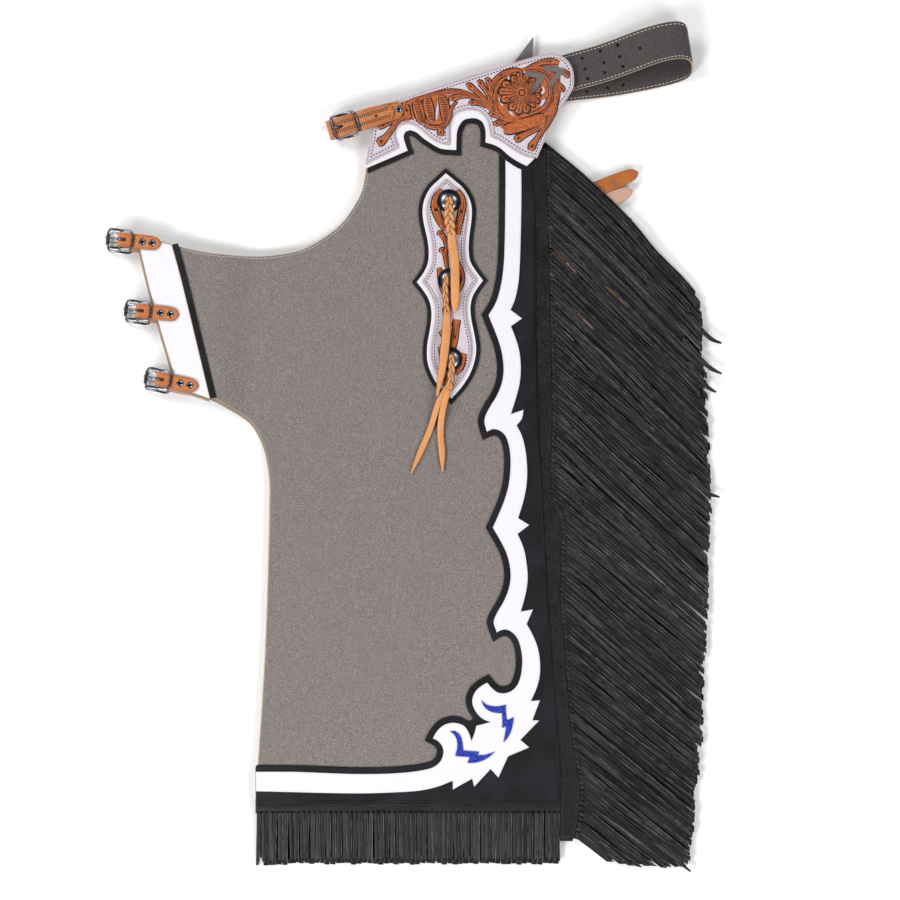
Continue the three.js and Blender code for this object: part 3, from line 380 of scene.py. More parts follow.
def slab(pile, loops, low, high, bend=None, rim=0.5 * MM, grid=8 * MM, face=0, edge=1, back=0,
         hole=None):
    """A sheet of leather cut to loops, the first its outline and the rest its holes, with eased edges."""
    loops = [loop if (area_of(loop) > 0) == (i == 0) else loop[::-1] for i, loop in enumerate(loops)]
    tops = [inset(loop, rim) for loop in loops]
    least, most = loops[0].min(0), loops[0].max(0)
    x, y = np.meshgrid(np.arange(least[0], most[0], grid), np.arange(least[1], most[1], grid * 0.866))
    x = x + (np.arange(len(x)) % 2)[:, None] * grid / 2
    inner = np.stack([x.ravel(), y.ravel()], 1)
    if len(inner):
        inner = inner[clear_of(inner, tops, grid * 0.45)]
    flat = np.vstack([*tops, inner])
    links, start = [], 0
    for loop in tops:
        links += [(start + i, start + (i + 1) % len(loop)) for i in range(len(loop))]
        start += len(loop)
    spots, _, faces, origins, _, _ = delaunay_2d_cdt([Vector(p) for p in flat], links, [], 0, 1e-7)
    spots = np.array([tuple(p) for p in spots])
    found = {k: i for i, olds in enumerate(origins) for k in olds}
    faces = np.array(faces)
    faces = faces[clear_of(spots[faces].mean(1), tops, 0)]
    count = len(spots)
    points = [np.column_stack([spots, np.full(count, high)]), np.column_stack([spots, np.full(count, low)])]
    sides, start, total = [], 0, 2 * count
    for loop, top in zip(loops, tops):
        size = len(loop)
        rings = [[found[start + i] for i in range(size)]]
        for amount, level in ((0.29, high - rim * 0.29), (0, high - rim), (0, low + rim * 0.7)):
            points.append(np.column_stack([inset(loop, rim * amount), np.full(size, level)]))
            rings.append(list(range(total, total + size)))
            total += size
        rings.append([found[start + i] + count for i in range(size)])
        for upper, lower in zip(rings, rings[1:]):
            sides += [[lower[i], lower[(i + 1) % size], upper[(i + 1) % size], upper[i]] for i in range(size)]
        start += size
    points = np.vstack(points)
    points = bend(points) if bend else points
    base = pile.count
    pile.add(points, faces.tolist(), face)
    pile.faces += [[i + base + count for i in f[::-1]] for f in faces.tolist()]
    pile.faces += [[i + base for i in f] for f in sides]
    rim_faces = 4 * len(loops[0])
    pile.finishes += [back] * len(faces) + [edge] * rim_faces
    pile.finishes += [edge if hole is None else hole] * (len(sides) - rim_faces)


def soft_rise(points):
    """Slow puckers of the stacked legs: none at the straps, the yoke and the belt."""
    x, y = points[:, 0], points[:, 1]
    away = np.clip((x + 0.20) / 0.06, 0, 1) * np.clip((0.30 - y) / 0.08, 0, 1)
    away *= np.clip((0.30 - x) / 0.08, 0, 1)
    wave = np.array([noise.noise(Vector((a * 14, b * 11, 3.1)))
                     + 0.5 * noise.noise(Vector((a * 31, b * 27, 7))) for a, b in zip(x, y)])
    return away * np.clip(wave + 0.45, 0, 1.5) * 0.9 * MM


def thigh_rise(x):
    share = np.clip((x - RAMP[0]) / (RAMP[1] - RAMP[0]), 0, 1)
    return share * share * (3 - 2 * share) * THIGH_LIFT


def lifted(points):
    """Leather lying in the stack: it goes up over the buckles and follows the puckers."""
    points = points.copy()
    points[:, 2] += soft_rise(points) + thigh_rise(points[:, 0])
    return points


def sweep(pile, centres, sides, ups, section, finish=0, closed=False, edges=None):
    """A section carried along centres; sides and ups are its half width and height as vectors."""
    section = np.asarray(section, float)
    size, count = len(section), len(centres)
    points = (centres[:, None] + sides[:, None] * section[None, :, :1] + ups[:, None] * section[None, :, 1:])
    faces = []
    for i in range(count if closed else count - 1):
        j = (i + 1) % count
        faces += [[i * size + k, i * size + (k + 1) % size, j * size + (k + 1) % size, j * size + k]
                  for k in range(size)]
    if not closed:
        faces += [list(range(size))[::-1], list(range((count - 1) * size, count * size))]
    pile.add(points.reshape(-1, 3), faces, finish)
    if edges:
        first = len(pile.finishes) - len(faces)
        for i in range(first + size, first + (count - 1) * size, size):
            pile.finishes[i:i + 2] = [edges[0]] * 2
            pile.finishes[i + 3:i + 5] = [edges[1]] * 2


FLAT = [(1, 0.2), (0.97, 0.72), (0.86, 1), (-0.86, 1), (-0.97, 0.72), (-1, 0.2), (-0.9, 0), (0.9, 0)]
STRIP = [(1, 0.3), (0.96, 0.85), (0.82, 1), (-0.5, 0.95), (-0.88, 0.55), (-1, 0.15), (-0.9, 0), (0.9, 0)]
DOMED = [(1, 0.05), (0.86, 0.45), (0.55, 0.82), (0.2, 1), (-0.2, 1), (-0.55, 0.82), (-0.86, 0.45), (-1, 0.05),
         (-0.8, 0), (0.8, 0)]
ROUND = [(math.cos(a), math.sin(a)) for a in np.arange(12) * math.tau / 12]


def ribbon(pile, rows, thick, section=FLAT, finish=0, roll=0.0, step=3 * MM, bend=None, slant=0.0,
           edges=None):
    """A ribbon along rows of x, y, z, width; roll tips it about its own line, in degrees, slant is how
    far its end is cut off square, and edges are the finishes of its left and its right edge."""
    rows = curve(rows, step, dims=3)
    centres = rows[:, :3] if bend is None else bend(rows[:, :3])
    along = unit(np.gradient(centres, axis=0))
    across = unit(np.cross([0, 0, 1.0], along))
    up = unit(np.cross(along, across))
    turn = np.radians(roll) * np.ones(len(rows))
    c, s = np.cos(turn)[:, None], np.sin(turn)[:, None]
    sides, ups = across * c + up * s, up * c - across * s
    if slant:
        sides[-1] += along[-1] * slant
    sweep(pile, centres, sides * rows[:, 3:4] / 2, ups * thick, section, finish, edges=edges)


def lengths_of(line):
    return np.concatenate([[0], np.cumsum(np.linalg.norm(np.diff(line, axis=0), axis=1))])


def at_length(line, distance):
    """Points of a line at distances along it, with its directions there."""
    run = lengths_of(line)
    spots = np.stack([np.interp(distance, run, line[:, k]) for k in range(line.shape[1])], 1)
    ahead = np.stack([np.interp(distance + 0.3 * MM, run, line[:, k]) for k in range(line.shape[1])], 1)
    behind = np.stack([np.interp(distance - 0.3 * MM, run, line[:, k]) for k in range(line.shape[1])], 1)
    return spots, unit(ahead - behind)


def stitches(pile, line, level, pitch, length, width, bend):
    """A row of single stitches along a line, each a small sunk-ended grain of thread."""
    total = lengths_of(line)[-1]
    spots, along = at_length(line, np.arange(pitch / 2, total, pitch))
    sides = np.stack([-along[:, 1], along[:, 0]], 1)
    shape = ((-0.5, 0.25, -0.35), (-0.28, 0.95, 0.6), (0.28, 0.95, 0.6), (0.5, 0.25, -0.35))
    ring = [(math.cos(a), math.sin(a)) for a in (np.arange(4) + 0.5) * math.tau / 4]
    for spot, ahead, side in zip(spots, along, sides):
        points = []
        for s, w, h in shape:
            for u, v in ring:
                flat = spot + ahead * s * length + side * u * w * width / 2
                points.append((*flat, level + (h * 0.5 + v * w * 0.5) * width / 2))
        faces = [[i * 4 + k, i * 4 + (k + 1) % 4, i * 4 + 4 + (k + 1) % 4, i * 4 + 4 + k]
                 for i in range(3) for k in range(4)]
        faces += [[3, 2, 1, 0], [12, 13, 14, 15]]
        pile.add(bend(np.array(points)), faces)


def lathe(pile, profile, centre, finish, segments):
    """A turned shape about Z; profile rows are radius and height in metres."""
    profile = np.asarray(profile, float)
    angles = np.arange(segments) * math.tau / segments
    points = [[r * math.cos(a), r * math.sin(a), z] for r, z in profile for a in angles]
    faces = [[i * segments + k, i * segments + (k + 1) % segments, (i + 1) * segments + (k + 1) % segments,
              (i + 1) * segments + k] for i in range(len(profile) - 1) for k in range(segments)]
    faces += [list(range(segments))[::-1],
              list(range((len(profile) - 1) * segments, len(profile) * segments))]
    pile.add(np.array(points) + centre, faces, finish)


def plate(name, node, level, finishes, grid=8 * MM, rim=0.5 * MM, step=2.2 * MM):
    """A flat leather piece of the stack, cut to its CAD node's outline; the right leg's lie face down."""
    pile = Pile()
    loops = [rounded(loop, step) for loop in outline_of(node)]
    low, high = np.array(LEVELS[level]) * MM
    face, back = (2, 0) if node.startswith("right") else (0, 2)
    slab(pile, loops, low, high, lifted, rim, grid, face, 1, back)
    return make(f"{name}_leather", pile, finishes, [node], even=True), loops


# Leg panels, borders, scrolls and yokes

grey = (grey_cowhide, grey_edge, flesh_side)
black = (black_leather, black_edge_dye_and_shade, dull_black_back_and_strip_shade)
white = (white_leather, white_edge_and_shade_line, flesh_side)
tooled = (tooled_ground, strap_edge, strap_flesh)
faced = (white_leather, grey_edge, flesh_side)
foil = (blue_foil, blue_foil, flesh_side)
pieces = {}
outlines = {}
for part, node, level, finishes, slot in (
    ("right_scroll", "right_border_scroll", "right_scroll", white, "white_leather"),
    ("right_border", "right_border", "right_border", black, "black_leather"),
    ("right_yoke", "right_yoke_plate", "right_border", tooled, "tooled_leather"),
    ("right_facing", "right_thigh_facing", "right_border", faced, "white_leather"),
    ("right_panel", "right_leg_panel", "right_panel", grey, "grey_leather"),
    ("left_panel", "left_leg_panel", "left_panel", grey, "grey_leather"),
    ("left_border", "left_border", "left_border", black, "black_leather"),
    ("left_scroll", "left_border_scroll", "left_scroll", white, "white_leather"),
    ("left_flash_side", "left_flash_side", "flash", foil, "blue_leather"),
    ("left_flash_hem", "left_flash_hem", "flash", foil, "blue_leather"),
    ("left_facing", "left_thigh_facing", "left_border", faced, "white_leather"),
    ("left_piping", "left_thigh_piping", "left_border", black, "black_leather"),
    ("yoke_backing", "left_yoke_backing", "left_border", black, "black_leather"),
    ("yoke_overlay", "left_yoke_overlay", "left_scroll", white, "white_leather"),
    ("yoke_tooled_plate", "left_yoke_plate", "plate", tooled, "tooled_leather"),
    ("medallion_backing", "left_medallion_backing", "left_border", black, "black_leather"),
    ("medallion_overlay", "left_medallion_overlay", "left_scroll", white, "white_leather"),
    ("medallion_tooled_plate", "left_medallion_plate", "plate", tooled, "tooled_leather"),
):
    fine = part.startswith(("left_flash", "yoke", "medallion"))
    pieces[part], outlines[part] = plate(part, node, level, finishes, grid=(5 if fine else 8) * MM,
                                  rim=(0.35 if fine else 0.6) * MM, step=(1.4 if fine else 2.2) * MM)


# Fringes

cut_line = squares([
    [290, 655], [291, 600], [294, 463], [296, 403], [296, 303], [304, 283], [304, 203], [308, 163],
    [314, 80], [319, 45], [324, 15], [322, -13], [318, -36],
])
upper_rim = squares([
    [280, 668], [289, 662], [341, 619], [377, 583], [397.5, 558], [428, 527.5], [448.5, 502],
])
tip_line = squares([
    [448.5, 502], [452, 476.5], [455, 406], [458, 365], [456, 323], [457, 277], [454.5, 246], [453.7, 191],
    [450.4, 133], [448.7, 67], [442, 9], [439.6, -28], [434.6, -61], [423, -64], [373, -61], [353, -60],
    [340, -54], [322, -47],
])
FRINGE_WIDTH = 6.3 * MM
FRINGE_THICK = 1.3 * MM
STRIP_STEP = 5 * MM
LONGEST_STRIP = 262 * MM
FALL = (278.5 * MM, 365.9 * MM)
rim_run = curve(upper_rim, 12 * MM)
rim_spots = rim_run[:-1, 0]
rim_slopes = np.degrees(np.arctan2(-np.diff(rim_run[:, 1]), np.diff(rim_run[:, 0])))


# A few strips stick out past the others, seen from above
LOOSE_TIPS = [
    [[688, 314], [702, 330], [712, 339], [722, 343]], [[683, 338], [699, 357], [711, 368], [722, 373.5]],
    [[688, 362], [700, 378], [708, 387], [716.5, 392]], [[690, 474], [701, 487], [710, 494], [720, 497]],
    [[640, 832], [660, 848], [676, 860], [691, 872]],
]


# Strips cut narrow, so that the billets under them show
NARROW_STRIPS = (9, 13, 16, 20, 25, 29)


def crossing(start, end, line):
    """The share of the way from start to end at which it crosses the line, and the line's heading there."""
    best = None
    for a, b in zip(line, line[1:]):
        along, way = b - a, end - start
        turn = way[0] * along[1] - way[1] * along[0]
        if turn:
            gap = a - start
            share = (gap[0] * along[1] - gap[1] * along[0]) / turn
            place = (gap[0] * way[1] - gap[1] * way[0]) / turn
            if 0 <= share <= 1 and 0 <= place <= 1 and (best is None or share < best):
                best, heading = share, along / np.linalg.norm(along)
    return None if best is None else (best, heading)


def fringe_piece(pile, node, least):
    """The strips as one piece, none of them lower than the leg under them allows."""
    for points in pile.points:
        np.maximum(points[:, 2], least - 0.1 * MM, out=points[:, 2])
    return make(f"{node}_strips", pile, (fringe_leather, dull_black_back_and_strip_shade, black_edge_dye_and_shade, fringe_fibre_and_highlight),
                [node])


def side_fringe(node, shift, base, drop, least):
    """Strips cut from one piece; they lean over each other down to the tips."""
    pile = Pile()
    head_low, head_high = base
    root_line = curve(np.vstack([squares([[288, 661.5]]), cut_line]), 4 * MM)
    total = lengths_of(root_line)[-1]
    count = int(total / FRINGE_WIDTH)
    seam_side = squares([[268, 640], [271, 613], [273, 583], [274, 503], [275.5, 403], [279, 338],
                         [282.5, 278],
                         [287, 203], [290, 153], [293, 100], [297, 58], [298, 0]])
    head = np.vstack([seam_side[::-1] + [0.5 * MM, 0], np.array([[seam_side[0][0] + 4 * MM, cut_line[0][1]]]),
                      cut_line, squares([[304.5, -36], [304.5, 0]])])
    slab(pile, [rounded(head + shift, 4 * MM)], head_low, head_high, lifted, 0.3 * MM, 7 * MM, 0, 2, 0)
    drift = 0.0
    for i in range(count):
        share = i / count
        root, _ = at_length(root_line, np.array([(i + 0.5) * FRINGE_WIDTH]))
        here = root[0] - [2.0 * MM, 0]
        drift = drift * 0.85 + chance.gauss(0, 0.42)
        lean = 44.5 - 6.5 * min(1, share * 1.15) + drift
        lean += chance.gauss(0, 2) if chance.random() < 0.1 else 0
        top_pull = max(0.0, 1 - i / 16)
        sway, phase = chance.uniform(0.6, 2.6), chance.uniform(0, math.tau)
        shorten = (chance.triangular(0, 9, 0.5) + (8 if chance.random() < 0.10 else 0)) * MM
        path = [here]
        for k in range(60):
            run = k * STRIP_STEP
            angle = lean * min(1, (run + 3 * MM) / (11 * MM))
            angle += (np.interp(here[0], rim_spots, rim_slopes) - angle) * top_pull
            angle += sway * (1 - top_pull) * math.sin(run * 52 + phase)
            turn = math.radians(angle)
            following = here + STRIP_STEP * np.array([math.cos(turn), -math.sin(turn)])
            ceiling = np.interp(following[0], upper_rim[:, 0], upper_rim[:, 1], right=9)
            following[1] = min(following[1], ceiling - FRINGE_WIDTH * 0.62)
            cut_off = crossing(here, following, tip_line)
            if cut_off is not None or run > LONGEST_STRIP:
                share_left, heading = cut_off or (0.5, np.array([0.0, -1.0]))
                path.append(here + (following - here) * share_left)
                break
            path.append(following)
            here = following
        path = np.array(path)
        keep = lengths_of(path)
        if keep[-1] < 14 * MM:
            continue
        ahead = unit(path[-1] - path[-2])
        beside = np.array([-ahead[1], ahead[0]])
        steep = beside @ heading if abs(beside @ heading) > 0.3 else 0.3
        slant = np.clip((ahead @ heading) / steep, -1.3, 1.3)
        shorten = min(shorten, keep[-1] * 0.2)
        path, _ = at_length(path, np.linspace(0, keep[-1] - shorten, max(6, int(keep[-1] / (8 * MM)))))
        level = (0, 1.5, 0.6)[i % 3] + chance.uniform(-0.3, 0.6) + (1.4 if chance.random() < 0.18 else 0)
        run = lengths_of(path)
        settle = np.clip(run / (35 * MM), 0, 1)
        fall = np.clip((path[:, 0] - FALL[0]) / (FALL[1] - FALL[0]), 0, 1)
        heights = head_low + 0.1 * MM + settle * level * MM - fall * drop * MM
        heights += settle * 0.9 * MM * np.sin(run * 60 + phase)
        heights = np.maximum(heights, least)
        narrow = 0.55 if drop > 4 and i in NARROW_STRIPS else 1
        widths = np.full(len(path), FRINGE_WIDTH * chance.uniform(0.86, 1.04) * narrow)
        roll = settle * (11 + chance.gauss(0, 8) + 13 * np.sin(run * 55 + phase * 2))
        rows = np.column_stack([path + shift, heights, widths])
        flat = np.column_stack([rows[:, 0], rows[:, 1], np.zeros(len(rows))])
        rows[:, 2] += soft_rise(flat)
        across_turn = np.interp(np.linspace(0, 1, len(curve(rows, 10 * MM, dims=3))),
                                np.linspace(0, 1, len(roll)), roll)
        # Nearly half the strips take the darker copy of the leather as painted shade; each raised edge takes
        # the light fibre as a painted highlight, each dipped edge the black dye as painted shade
        ribbon(pile, rows, FRINGE_THICK, STRIP, 1 if chance.random() < 0.45 else 0, across_turn, 10 * MM,
               slant=slant, edges=(3, 2))
    if drop > 4:
        for rows in LOOSE_TIPS:
            line = seen(rows)
            heights = head_low - drop * MM + np.array([3.4, 4.2, 4.6, 3.8]) * MM
            widths = np.array([1, 0.95, 0.85, 0.4]) * FRINGE_WIDTH
            # Raised edges in the light fibre, a painted highlight; dipped edges in the black dye, painted
            # shade
            ribbon(pile, np.column_stack([line, heights, widths]), FRINGE_THICK, STRIP, 0, 16, 4 * MM,
                   edges=(3, 2))
    return fringe_piece(pile, node, least)


def hem_fringe(node, shift, base, drop, least):
    """Short strips that hang straight down from the hem, loosest at its inner corner."""
    pile = Pile()
    head_low, head_high = base
    left, right = squares([[0, 0], [304, 0]])[:, 0]
    top, cut, tips = squares([[0, 6.4], [0, -8.3], [0, -59]])[:, 1]
    head = np.array([[left, cut], [right, cut], [right, top], [left, top]]) + shift
    slab(pile, [head], head_low, head_high, lifted, 0.3 * MM, 7 * MM, 0, 2, 0)
    count = int((right - left) / FRINGE_WIDTH)
    pitch = (right - left) / count
    for i in range(count):
        x = left + (i + 0.5) * pitch
        near_edge = math.exp(-i / 5)
        drift = chance.gauss(0, 0.7 + 2.2 * near_edge) * MM
        if i == 0:
            drift = -1.2 * MM
        bottom = tips + chance.uniform(-1.2, 1.0) * MM - (1.0 * MM if i < 6 else 0)
        level = (i % 2) * 0.7 + chance.uniform(-0.2, 0.4)
        ys = np.array([cut + 1.5 * MM, cut - 8 * MM, (cut + bottom) / 2, bottom])
        share = (cut - ys) / (cut - bottom)
        heights = head_low + np.clip(share * 3, 0, 1) * level * MM - np.clip(share, 0, 1) * drop * MM
        rows = np.column_stack([x + drift * np.clip(share, 0, 1) ** 1.3, ys, np.maximum(heights, least),
                                np.full(4, pitch * (1.06 if i else 0.6))])
        rows[:, :2] += shift
        flat = np.column_stack([rows[:, 0], rows[:, 1], np.zeros(4)])
        rows[:, 2] += soft_rise(flat)
        # About a third of the strips take the darker copy of the leather as painted shade; raised edges take
        # the light fibre as a painted highlight, dipped edges the black dye as painted shade
        ribbon(pile, rows, FRINGE_THICK, STRIP, 1 if chance.random() < 0.3 else 0,
               10 + chance.gauss(0, 5 + 5 * near_edge), 6 * MM, edges=(3, 2))
    return fringe_piece(pile, node, least)


no_shift = np.zeros(2)
left_base, right_base = np.array([8.0, 10.0]) * MM, np.array([3.4, 5.4]) * MM
for kind, cut_strips in (("side_fringe", side_fringe), ("hem_fringe", hem_fringe)):
    for side, shift, base, drop, least in (("right", RIGHT_SHIFT, right_base, 3.4, 0.2 * MM),
                                           ("left", no_shift, left_base, 4.6, 2.6 * MM)):
        pieces[f"{side}_{kind}"] = cut_strips(f"{side}_{kind}", shift, base, drop, least)


# Each leg panel's outline, with its area worked out and left unused
for side, trims, under in (
    ("right", ("border", "scroll", "facing", "side_fringe", "hem_fringe"),
     ["right_border_leather", "right_facing_leather"]),
    ("left", ("border", "scroll", "flash_side", "flash_hem", "facing", "piping", "side_fringe", "hem_fringe"),
     ["right_panel_leather"]),
):
    cut = outlines[f"{side}_panel"][0]
    abs(area_of(cut))


# Stitching

def open_run(rows, offset, step=2 * MM):
    """A smooth open line, moved to its left."""
    line = curve(squares(rows), step)
    along = unit(np.gradient(line, axis=0))
    return line + np.stack([-along[:, 1], along[:, 0]], 1) * offset


def loop_run(loop, offset):
    """A closed line inside a loop, as an open run that ends where it starts."""
    loop = loop if area_of(loop) > 0 else loop[::-1]
    moved = inset(loop, offset)
    moved = moved[clear_of(moved, [loop], offset * 0.93)]
    return np.vstack([moved, moved[:1]])


top_of = {key: value[1] * MM for key, value in LEVELS.items()}
white_rows, black_rows = Pile(), Pile()
front_edge = [[-74, 556], [-56, 552], [-36, 549], [-16, 548], [4, 547], [24, 549], [44, 553], [64, 563],
              [84, 578], [98, 597], [106, 613], [110, 633]]
stitches(white_rows, open_run(front_edge, -2.9 * MM), top_of["left_panel"], 3.3 * MM, 2.2 * MM, 0.9 * MM,
         lifted)
seam_line = [[274, 640], [277, 613], [279, 583], [280, 503], [281.5, 403], [285, 338], [288.5, 278],
             [293, 203],
             [296, 153], [299, 100], [303, 58], [304, 2]]
hem_line = [[1, 0], [100, 0], [200, 0], [302, 0]]
for rows, offset in ((seam_line, -3.0 * MM), (hem_line, 2.6 * MM)):
    stitches(black_rows, open_run(rows, offset), top_of["left_border"], 3.4 * MM, 2.4 * MM, 1.6 * MM, lifted)
stitches(black_rows, loop_run(outlines["yoke_tooled_plate"][0], 4.6 * MM), top_of["plate"], 3.9 * MM,
         2.7 * MM,
         1.5 * MM, lifted)
stitches(black_rows, loop_run(outlines["medallion_tooled_plate"][0], 3.4 * MM), top_of["plate"], 3.7 * MM,
         2.5 * MM, 1.4 * MM, lifted)
for part in ("medallion_overlay", "yoke_overlay"):
    stitches(white_rows, loop_run(outlines[part][0], 2.0 * MM), top_of["left_scroll"], 3.2 * MM, 2.0 * MM,
             0.6 * MM, lifted)
scroll_run = loop_run(outlines["left_scroll"][0], 1.8 * MM)
stitches(white_rows, scroll_run, top_of["left_scroll"], 3.0 * MM, 2.0 * MM, 0.55 * MM, lifted)
facing_run = loop_run(outlines["left_facing"][0], 2.0 * MM)
stitches(white_rows, facing_run, top_of["left_border"], 3.2 * MM, 2.1 * MM, 0.6 * MM, lifted)
make("white_stitching", white_rows, (white_thread,))
make("black_stitching", black_rows, (black_thread,))

grooves = Pile()
for part, offset in (("yoke_tooled_plate", 1.6 * MM), ("medallion_tooled_plate", 1.3 * MM)):
    line = loop_run(outlines[part][0], offset)
    rows = np.column_stack([line, np.full(len(line), top_of["plate"] - 0.05 * MM),
                            np.full(len(line), 0.8 * MM)])
    ribbon(grooves, rows, 0.12 * MM, FLAT, 0, 0.0, 2 * MM, lifted)
make("plate_grooves", grooves, (groove_line,))


# Tooling

PLATE = top_of["plate"]
carving = Pile()


def frond(rows, level=0.0, veins=1, height=0.9, fuller=1.12):
    """A carved leaf or stem: an inked cut round a domed body, with veins; rows are place and width."""
    rows = seen(rows)
    rows[:, 2] *= SQUARE * fuller
    flat = np.column_stack([rows[:, :2], np.full(len(rows), PLATE - 0.05 * MM + level * MM), rows[:, 2]])
    cut = flat.copy()
    cut[:, 3] += 2.1 * MM
    ribbon(carving, cut, 0.28 * MM, FLAT, 1, 0.0, 1.2 * MM, lifted)
    ribbon(carving, flat, height * MM, DOMED, 0, 0.0, 1.2 * MM, lifted)
    wide = curve(flat, 1.2 * MM, dims=3)
    broad = len(wide) // 2 + int(np.argmax(wide[len(wide) // 2:, 3]))
    if veins and wide[broad, 3] > 4.6 * MM:
        seed = wide[max(0, broad - 3):broad + 2].copy()
        seed[:, 2] += height * 0.82 * MM
        seed[:, 3] *= np.linspace(0.12, 0.5, len(seed))
        ribbon(carving, seed, 0.26 * MM, DOMED, 1, 0.0, 1 * MM, lifted)
    for k in range(veins):
        side = (k - (veins - 1) / 2) * 0.36
        line = wide.copy()
        along = unit(np.gradient(line[:, :2], axis=0))
        line[:, :2] += np.stack([-along[:, 1], along[:, 0]], 1) * (line[:, 3] * side)[:, None]
        line[:, 2] += height * MM * (0.86 - abs(side) * 0.5)
        line = line[int(len(line) * 0.12):int(len(line) * 0.78)]
        if len(line) > 3:
            line[:, 3] = 0.95 * MM * np.sin(np.linspace(0.3, math.pi - 0.2, len(line)))
            ribbon(carving, line[::2], 0.22 * MM, DOMED, 1, 0.0, 1.5 * MM, lifted)


YOKE_FRONDS = [
    ([[402.8, 106, 2], [412, 101.5, 3], [425, 97.5, 3.5], [438, 94, 3.8], [451, 91.5, 3.6], [462, 92.5, 3.4],
      [474, 97, 3.4], [485, 103.5, 3.6], [495, 113, 3.8], [506, 120.5, 3.2], [516, 121, 2.5],
      [527, 118.5, 1.5]], 2),
    ([[493, 113, 2.6], [489.5, 103, 3], [490, 92, 3.4], [494, 82, 3.6], [501, 75.5, 3.8], [510, 71.5, 3.6],
      [518, 70.5, 2.8], [522, 73, 1.2]], 1),
    ([[503, 119, 2], [496.5, 109, 2.6], [495, 98, 2.8], [497, 88, 2.8], [501.5, 81, 2.2], [507, 77, 1.2]], 1),
    ([[525, 70, 1.6], [533, 66, 3], [543, 62.8, 4], [552, 62, 4.6], [559, 63.5, 2.6]], 1),
    ([[530, 69, 1.8], [540, 68, 3], [549, 71.5, 4], [555, 79, 4.4], [557, 90, 4.8], [555.5, 101, 5],
      [550, 111, 4.8],
      [541, 117.5, 3.6], [530, 120.5, 2.2]], 2),
    ([[536, 72.5, 1.6], [544, 75.5, 2.4], [549, 82, 3], [550.5, 92, 3], [548, 102, 3], [541, 110, 2.6],
      [532, 114, 1.6]], 1),
    ([[553, 80, 2.4], [558, 85, 4], [562, 90, 5], [561.5, 92.5, 2.4]], 1),
    ([[553, 71, 2], [561, 71.5, 3.6], [567, 75, 4.4], [566, 78.5, 2.2]], 1),
    ([[491, 108, 1.6], [484, 99, 3], [476, 91.5, 3.8], [468.5, 86, 4.8], [466.5, 87, 2.6]], 1),
    ([[492, 105, 1.6], [488, 95, 3], [483.5, 88, 3.8], [479.5, 83, 4.8], [478, 84, 2.6]], 1),
    ([[493, 101, 1.6], [491.5, 92, 2.8], [489.5, 85.5, 3.8], [487.5, 80.5, 4.6], [486, 82, 2.4]], 1),
    ([[478, 100, 1.6], [468, 96.5, 3], [459, 97, 4], [451.5, 99.5, 5], [451, 101.5, 2.4]], 1),
    ([[486, 107, 1.6], [478, 103.5, 3.2], [471.5, 103.5, 4.4], [470, 105.5, 2.4]], 1),
    ([[506, 121, 1.6], [499, 117.5, 3], [492, 114.5, 4.4], [489.5, 116, 2.4]], 1),
    ([[507, 123.5, 1.6], [501, 122.5, 3], [496, 124.5, 4.4], [495, 126.5, 2.4]], 1),
    ([[556, 98, 3.5], [554, 110, 4.6], [549, 121, 4.6], [543, 130, 4], [536, 140, 4.2], [531.5, 147.5, 6.4],
      [530, 151, 3]], 2),
    ([[547, 122, 2.4], [536, 129.5, 3.8], [525, 135, 4.6], [517, 139.5, 6], [514.5, 141, 3]], 1),
    ([[424, 124, 2], [430, 127, 3.4], [438, 128, 3.4], [446, 124.5, 3], [450, 117, 2.4], [452, 108, 2],
      [457, 102, 1.4]], 1),
    ([[443.5, 124, 1.6], [441.5, 129, 3.6], [440.5, 134, 5.6], [440, 136.5, 2.6]], 1),
    ([[412, 116, 2], [402, 118.5, 3.4], [396, 123.5, 3.6], [391, 131, 4], [386, 137.5, 5],
      [380.5, 142.5, 7.4],
      [377.5, 144.5, 4]], 1),
    ([[398, 121, 1.6], [390, 123, 3], [382, 126.5, 4.4], [378.5, 128.5, 2.4]], 1),
    ([[404, 102, 3], [406.5, 110, 6], [408, 119, 4]], 1),
]
for k, (rows, veins) in enumerate(YOKE_FRONDS):
    frond(rows, 0.02 * k, veins)

# Bud of three scaled lobes
for k, lobe in enumerate((
    [[417, 98, 5], [417.5, 105, 8.6], [419, 112, 9.2], [421, 119, 7.6], [422.4, 124, 4]],
    [[427, 97, 5], [427.8, 104, 8.4], [429.4, 111, 8.6], [431, 118, 7], [432, 122, 4]],
    [[441, 96.5, 4.5], [443.5, 103, 8], [445, 110, 8.6], [445.5, 117, 7.4], [445, 122.5, 4]],
)):
    frond(lobe, 0.3 + 0.1 * k, 0, 1.1)
    line = curve(seen(lobe), 2.9 * MM)
    for x, y, w in line[1:-1]:
        half = w * SQUARE * 0.36
        for side in (-1, 1):
            mark = np.array([[x, y + 0.9 * MM, 0, 0.75 * MM],
                             [x + side * half * 0.55, y - 0.4 * MM, 0, 1.2 * MM],
                             [x + side * half, y + 0.6 * MM, 0, 0.6 * MM]])
            mark[:, 2] = PLATE + (np.array([1.34, 1.22, 0.95]) + 0.12 * k) * MM
            ribbon(carving, mark, 0.3 * MM, DOMED, 1, 0.0, 1 * MM, lifted)

# Plain burnished ribbon below the flower
banner = [[503.5, 130.4, 6], [508, 129.6, 9.6], [516, 127.4, 10.8], [526, 124.4, 11], [536, 121, 10.4],
          [543, 118.2, 8], [545.5, 117.4, 4]]
frond(banner, 0.5, 0, 0.8)

